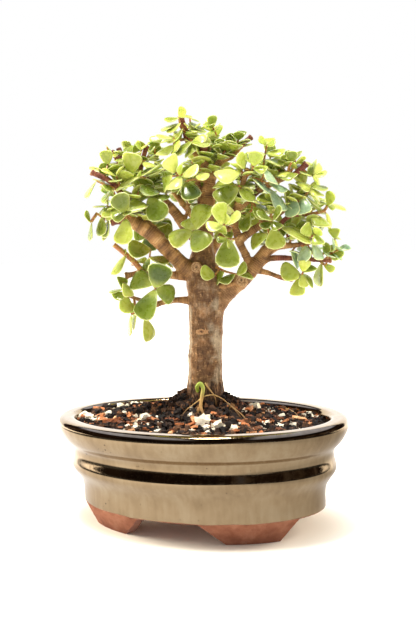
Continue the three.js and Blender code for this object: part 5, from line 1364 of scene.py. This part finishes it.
def make_wood(material):
    """The trunk, limbs, roots and stubs as tubes grown into one skin, then given lumps, cracks and
    swollen nodes.
    """
    lines = {name: smooth_line(points, 1.5) for name, points in LIMBS.items()}
    wood = join([tube(line) for line in lines.values()])
    settle(wood)
    apply_modifier(wood, "REMESH", mode="VOXEL", voxel_size=WOOD_VOXEL * MM)
    apply_modifier(wood, "SMOOTH", factor=0.6, iterations=4)
    points = points_of(wood) / MM

    # The nearest centre line point of each point of the skin
    marks = np.concatenate(list(lines.values()))
    travelled, redness = [], []
    for i, (name, line) in enumerate(lines.items()):
        steps = np.linalg.norm(np.diff(line[:, :3], axis=0), axis=1)
        along = np.concatenate([[0], np.cumsum(steps)])
        travelled.append(40.0 * i + along)
        redness.append(np.clip((RED_ENDS.get(name, -5) - along[-1] + along) / 6 + 0.5, 0, 1))
    nearest = np.empty(len(points), int)
    for block in np.array_split(np.arange(len(points)), 60):
        apart = np.linalg.norm(points[block, None, :] - marks[None, :, :3], axis=2)
        nearest[block] = np.argmin(apart / np.maximum(marks[:, 3], 1.5), axis=1)
    travelled = np.concatenate(travelled)[nearest]
    girth = marks[nearest, 3]
    out = points - marks[nearest, :3]
    out /= np.maximum(np.linalg.norm(out, axis=1), 0.1)[:, None]
    pruned, ring_radius = prune(lines, points, out)

    # Lumps, lengthwise cracks on the trunk, and swollen nodes along the limbs
    for i, point in enumerate(points):
        if pruned[i]:
            continue
        x, y, z = point
        thick = min(1, max(0, (girth[i] - 4) / 4))
        broad = noise.noise(Vector(point) / 9)
        lengthwise = noise.noise(Vector((x / 1.6, y / 1.6, z / 14)))
        pinched = noise.noise(Vector((x / 30, y / 30, z / 2.1)))
        stringy = min(1, max(0, (97 - z) / 6))
        swell = (0.55 * broad + (0.42 + 0.7 * stringy) * lengthwise + 0.2 * pinched) * thick
        node = max(0, math.cos(travelled[i] * math.tau / NODE_SPACING)) ** 4
        swell += (1 - thick) * (0.09 * girth[i] * node + 0.2 * broad)
        points[i] = point + swell * out[i]
    move_points(wood, points * MM)
    for number, values in (
            ("along", travelled), ("girth", girth), ("pruned", pruned),
            ("ring_radius", ring_radius), ("young", np.concatenate(redness)[nearest])):
        keep_number(wood, number, values)
    # The grey and orange patches, partly painted highlight on the trunk's sides, and the scars
    for kind, spots in (("weathered_and_highlight", WEATHERED_AND_HIGHLIGHT), ("fresh_and_highlight", FRESH_AND_HIGHLIGHT), ("scar", SCARS)):
        keep_number(wood, kind, nearness(points, spots) * (girth > TRUNK_GIRTH))
    turn_with_tree(wood)
    hand_over(wood, "trunk_and_limbs", material, "bark", ["trunk_and_branches"])


def root_thread(points, step, sides):
    """A root, whose points keep how far along it they are, from 0 to 1."""
    line = smooth_line(points, step)
    thread = tube(line, sides)
    apart = np.linalg.norm(points_of(thread)[:, None, :] / MM - line[None, :, :3], axis=2)
    return thread, np.argmin(apart, axis=1) / (len(line) - 1)


def make_roots(material):
    """The young green root that loops into the soil, and thin roots beside it."""
    root, along = root_thread(GREEN_ROOT, 0.8, 5)
    keep_number(root, "along", along)
    turn_with_tree(root)
    hand_over(root, "green_root_loop", material, "green_root", ["green_root"])
    threads = []
    for points in THIN_ROOTS:
        thread, along = root_thread(points, 1.2, 2)
        keep_number(thread, "along", 0.5 + 0.5 * along)
        threads.append(thread)
    hand_over(turn_with_tree(join(threads)), "thin_roots", material, "green_root")


def leaf_blank(name, cup, curl, wave):
    """A fleshy leaf one unit long, its foot at the origin and its tip along Y: a disc of a grid
    and a rim, doubled by a mirror, then shaped to a spoon with a narrow foot and a round tip."""
    deselect()
    bpy.ops.mesh.primitive_circle_add(vertices=16, radius=LEAF_FIELD, fill_type="NOTHING",
                                      rotation=(0, 0, math.pi / 16))
    blank = bpy.context.active_object
    blank.name = name
    settle(blank)
    bpy.ops.object.mode_set(mode="EDIT")
    bpy.ops.mesh.select_mode(type="EDGE")
    bpy.ops.mesh.select_all(action="SELECT")
    bpy.ops.mesh.fill_grid(span=4)
    bpy.ops.mesh.select_mode(type="VERT")
    bpy.ops.mesh.select_all(action="SELECT")
    bpy.ops.transform.translate(value=(0, 0, 1))
    bpy.ops.mesh.select_mode(type="EDGE")
    bpy.ops.mesh.select_all(action="DESELECT")
    bpy.ops.mesh.select_non_manifold()
    bpy.ops.mesh.extrude_edges_move(TRANSFORM_OT_translate={"value": (0, 0, -1)})
    bpy.ops.transform.resize(value=(1 / LEAF_FIELD, 1 / LEAF_FIELD, 1))
    close_edit()
    outward(blank)
    apply_modifier(blank, "MIRROR", use_axis=(False, False, True), use_clip=True,
                   merge_threshold=0.001)
    outward(blank)
    disc = points_of(blank)
    rims = np.minimum(1, np.hypot(disc[:, 0], disc[:, 1]))
    points = disc.copy()
    reaches = []
    for i, (x, y, side) in enumerate(disc):
        reach = ((1 + min(1, y)) / 2) ** 0.8
        width = 1.25 * reach ** 0.62 * math.sqrt(max(0, 1 - reach ** 6))
        across = max(-1, min(1, x / math.sqrt(max(1e-4, 1 - y * y)))) * width
        if abs(y) > 0.999:
            across = 0
        full = math.sqrt(max(0, 1 - rims[i] ** 4)) * min(1, 0.35 + 2.2 * reach)
        bowl = cup * across * across - curl * reach * reach
        ripple = wave * across * math.sin(5 * reach)
        points[i] = (across * LEAF_WIDTH / 2, reach,
                     np.sign(side) * full * LEAF_THICKNESS / 2 + bowl + ripple)
        reaches.append(reach)
    move_points(blank, points)
    keep_number(blank, "rim", rims)
    keep_number(blank, "reach", reaches)
    keep_number(blank, "woody", 0)
    outward(blank)
    return blank


def facing_of(along, degrees):
    """The way a blade faces: as near to the front as its own direction lets it, then turned up."""
    way = along.normalized()
    front = Vector((0, -1, 0))
    flat = (front - way * front.dot(way)).normalized()
    side = way.cross(flat)
    upward = side if side.z >= 0 else -side
    angle = math.radians(degrees)
    return flat * math.cos(angle) + upward * math.sin(angle)


def nearest_on(point, line):
    """The nearest point to a point on a line of stretches."""
    best = Vector(line[0][:3])
    for start, end in zip(line, line[1:]):
        start, end = Vector(start[:3]), Vector(end[:3])
        way = end - start
        share = max(0, min(1, (point - start).dot(way) / way.length_squared))
        near = start + way * share
        if (near - point).length < (best - point).length:
            best = near
    return best


def leaf_at(foot, along, facing, blanks, dice):
    """A leaf from one of the blanks, by its foot, its way and length, and how its blade faces."""
    way = along.normalized()
    across = facing.cross(way).normalized()
    up = way.cross(across)
    length = along.length + LEAF_ROOT
    wider = dice.uniform(0.9, 1.08)
    turned = Matrix((across * length * wider, way * length, up * length)).transposed().to_4x4()
    start = Matrix.Translation((foot - way * LEAF_ROOT) * MM)
    leaf = copy_of(blanks[dice.randrange(len(blanks))], start @ Matrix.Scale(MM, 4) @ turned)
    keep_number(leaf, "shade", dice.random())
    return leaf


def stick(line, sides):
    """A stem or a twig, whose skin the leaf's material draws by its woody number."""
    made = tube(line, sides)
    keep_number(made, "woody", 1)
    return made


def grown_tip(cad_points, foot, along):
    """A leaf's way, after the lean that the CAD gave it to keep it off its neighbours."""
    for shift in TIP_SHIFTS:
        leaned = (along + Vector((0, shift, 0))).normalized() * along.length
        if np.min(np.linalg.norm(cad_points - np.array(foot + leaned), axis=1)) < TIP_MATCH:
            return leaned
    return along


def paired_leaves(shoot_line, pairs, size, dice):
    """Opposite pairs up a stem, each pair turned a quarter from the last."""
    leaves = []
    for pair in range(pairs):
        share = (pair + 0.8) / pairs
        at = share * (len(shoot_line) - 1)
        low = min(int(at), len(shoot_line) - 2)
        below, above = (Vector(point[:3]) for point in shoot_line[low:low + 2])
        foot = below.lerp(above, at - low)
        up = (above - below).normalized()
        level = Vector((0, 0, 1)).cross(up).normalized()
        turn = pair * math.pi / 2 + dice.uniform(-0.35, 0.35)
        out = Matrix.Rotation(turn, 3, up) @ level
        for side in (-1, 1):
            length = size * (1 - 0.35 * share) * dice.uniform(0.85, 1.15)
            lean = 1.25 - 0.5 * share + dice.uniform(-0.2, 0.2)
            along = (up * math.cos(lean) + out * side * math.sin(lean)) * length
            leaves.append((foot, along, up))
    return leaves


def make_shoot(name, radius, stem, leaves, blanks, dice):
    """One shoot: its stem, its leaves and the twigs of the leaves that stand off it."""
    line = smooth_line([(*point, radius - STEM_TAPER * i / (len(stem) - 1))
                        for i, point in enumerate(stem)], 1.5)
    parts = [stick(line, 2)]
    turned_back = np.array(Matrix.Rotation(-TREE_TURN, 3, "Z"))
    cad_points = points_of(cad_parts["shoot_" + name]) / MM @ turned_back.T
    for foot, along, facing in leaves:
        on_stem = nearest_on(foot, line)
        tip = foot + along
        if (foot - on_stem).length > LONGEST_LEAF_STALK:
            parts.append(stick([(*on_stem, TWIG_RADIUS), (*foot, TWIG_RADIUS)], 1))
        else:
            foot = on_stem
        way = grown_tip(cad_points, foot, tip - foot)
        if not isinstance(facing, Vector):
            facing = facing_of(way, facing)
        parts.append(leaf_at(foot, way, facing, blanks, dice))
    return turn_with_tree(join(parts))


def make_spurs(limb, first, last, count, size, blanks, dice):
    """Short leafy spurs along the upper side of a limb, with their blades near level."""
    limb_line = smooth_line(LIMBS[limb], 1.5)
    parts = []
    for i in range(count):
        share = first + (last - first) * (i + dice.random()) / count
        foot = Vector(limb_line[int(share * (len(limb_line) - 1))][:3])
        aim = Vector((dice.uniform(-1, 1), dice.uniform(-0.6, 1), dice.uniform(0.5, 1.6)))
        aim = aim.normalized() * dice.uniform(8, 14)
        middle = foot + aim * 0.5 + Vector((0, 0, 1))
        line = smooth_line([(*foot, 0.9), (*middle, 0.8), (*(foot + aim), 0.6)], 1.5)
        parts.append(stick(line, 1))
        for base, along, up in paired_leaves(line, dice.choice((2, 3)), size, dice):
            facing = (up + Vector((0, 0, 0.8))).normalized()
            parts.append(leaf_at(base, along, facing, blanks, dice))
    return turn_with_tree(join(parts))


def make_shoots():
    blanks = [leaf_blank("leaf_blank_%d" % i, *shape) for i, shape in enumerate(LEAF_SHAPES)]
    finishes = [(material_of(name, jade_leaf, *colours), slot)
                for name, slot, *colours in LEAF_TONES]
    dice = random.Random(5)
    for name, tone, stem, leaves in SHOOTS:
        traced = [(Vector(leaf[:3]), Vector(leaf[3:6]), leaf[6]) for leaf in leaves]
        shoot = make_shoot(name, THICK_STEMS.get(name, STEM_RADIUS), stem, traced, blanks, dice)
        hand_over(shoot, name + "_leaves", *finishes[tone], ["shoot_" + name])
    for name, tone, pairs, size, stem in BACK_SHOOTS:
        paired = paired_leaves(smooth_line(stem, 2), pairs, size, dice)
        shoot = make_shoot(name, STEM_RADIUS, stem, paired, blanks, dice)
        hand_over(shoot, name + "_leaves", *finishes[tone], ["shoot_" + name])
    for limb, first, last, count, size, tone in SPURS:
        spurs = make_spurs(limb, first, last, count, size, blanks, dice)
        hand_over(spurs, limb + "_spurs", *finishes[tone])
    for blank in blanks:
        bpy.data.objects.remove(blank)


# Without a seed, noise_vector differs from run to run.
noise.seed_set(3)
camera = make_camera()
make_studio()
make_floor()
make_pot(material_of("lustre_glaze_fired_on_terracotta", lustre_glaze))
mesh_plastic = material_of("polypropylene_mesh_moulded", moulded_mesh)
for side in ("left", "right"):
    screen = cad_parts["drain_screen_" + side]
    screen.data.materials.clear()
    screen.data.materials.append(mesh_plastic)
make_soil(material_of("bark_compost_chopped", damp_compost))
perlite = material_of("perlite_popped", popped_perlite)
bark = material_of("pine_bark_split", split_bark)
make_grains(camera, material_of("bark_compost_crumbs", crumb_compost), perlite, bark)
make_large_grains(perlite, bark)
make_wood(material_of("jade_bark_grown", grown_bark))
make_roots(material_of("root_skin_growing", growing_root))
make_shoots()
deselect()

bpy.context.scene.view_settings.view_transform = "Standard"
bpy.context.scene.view_settings.look = "None"
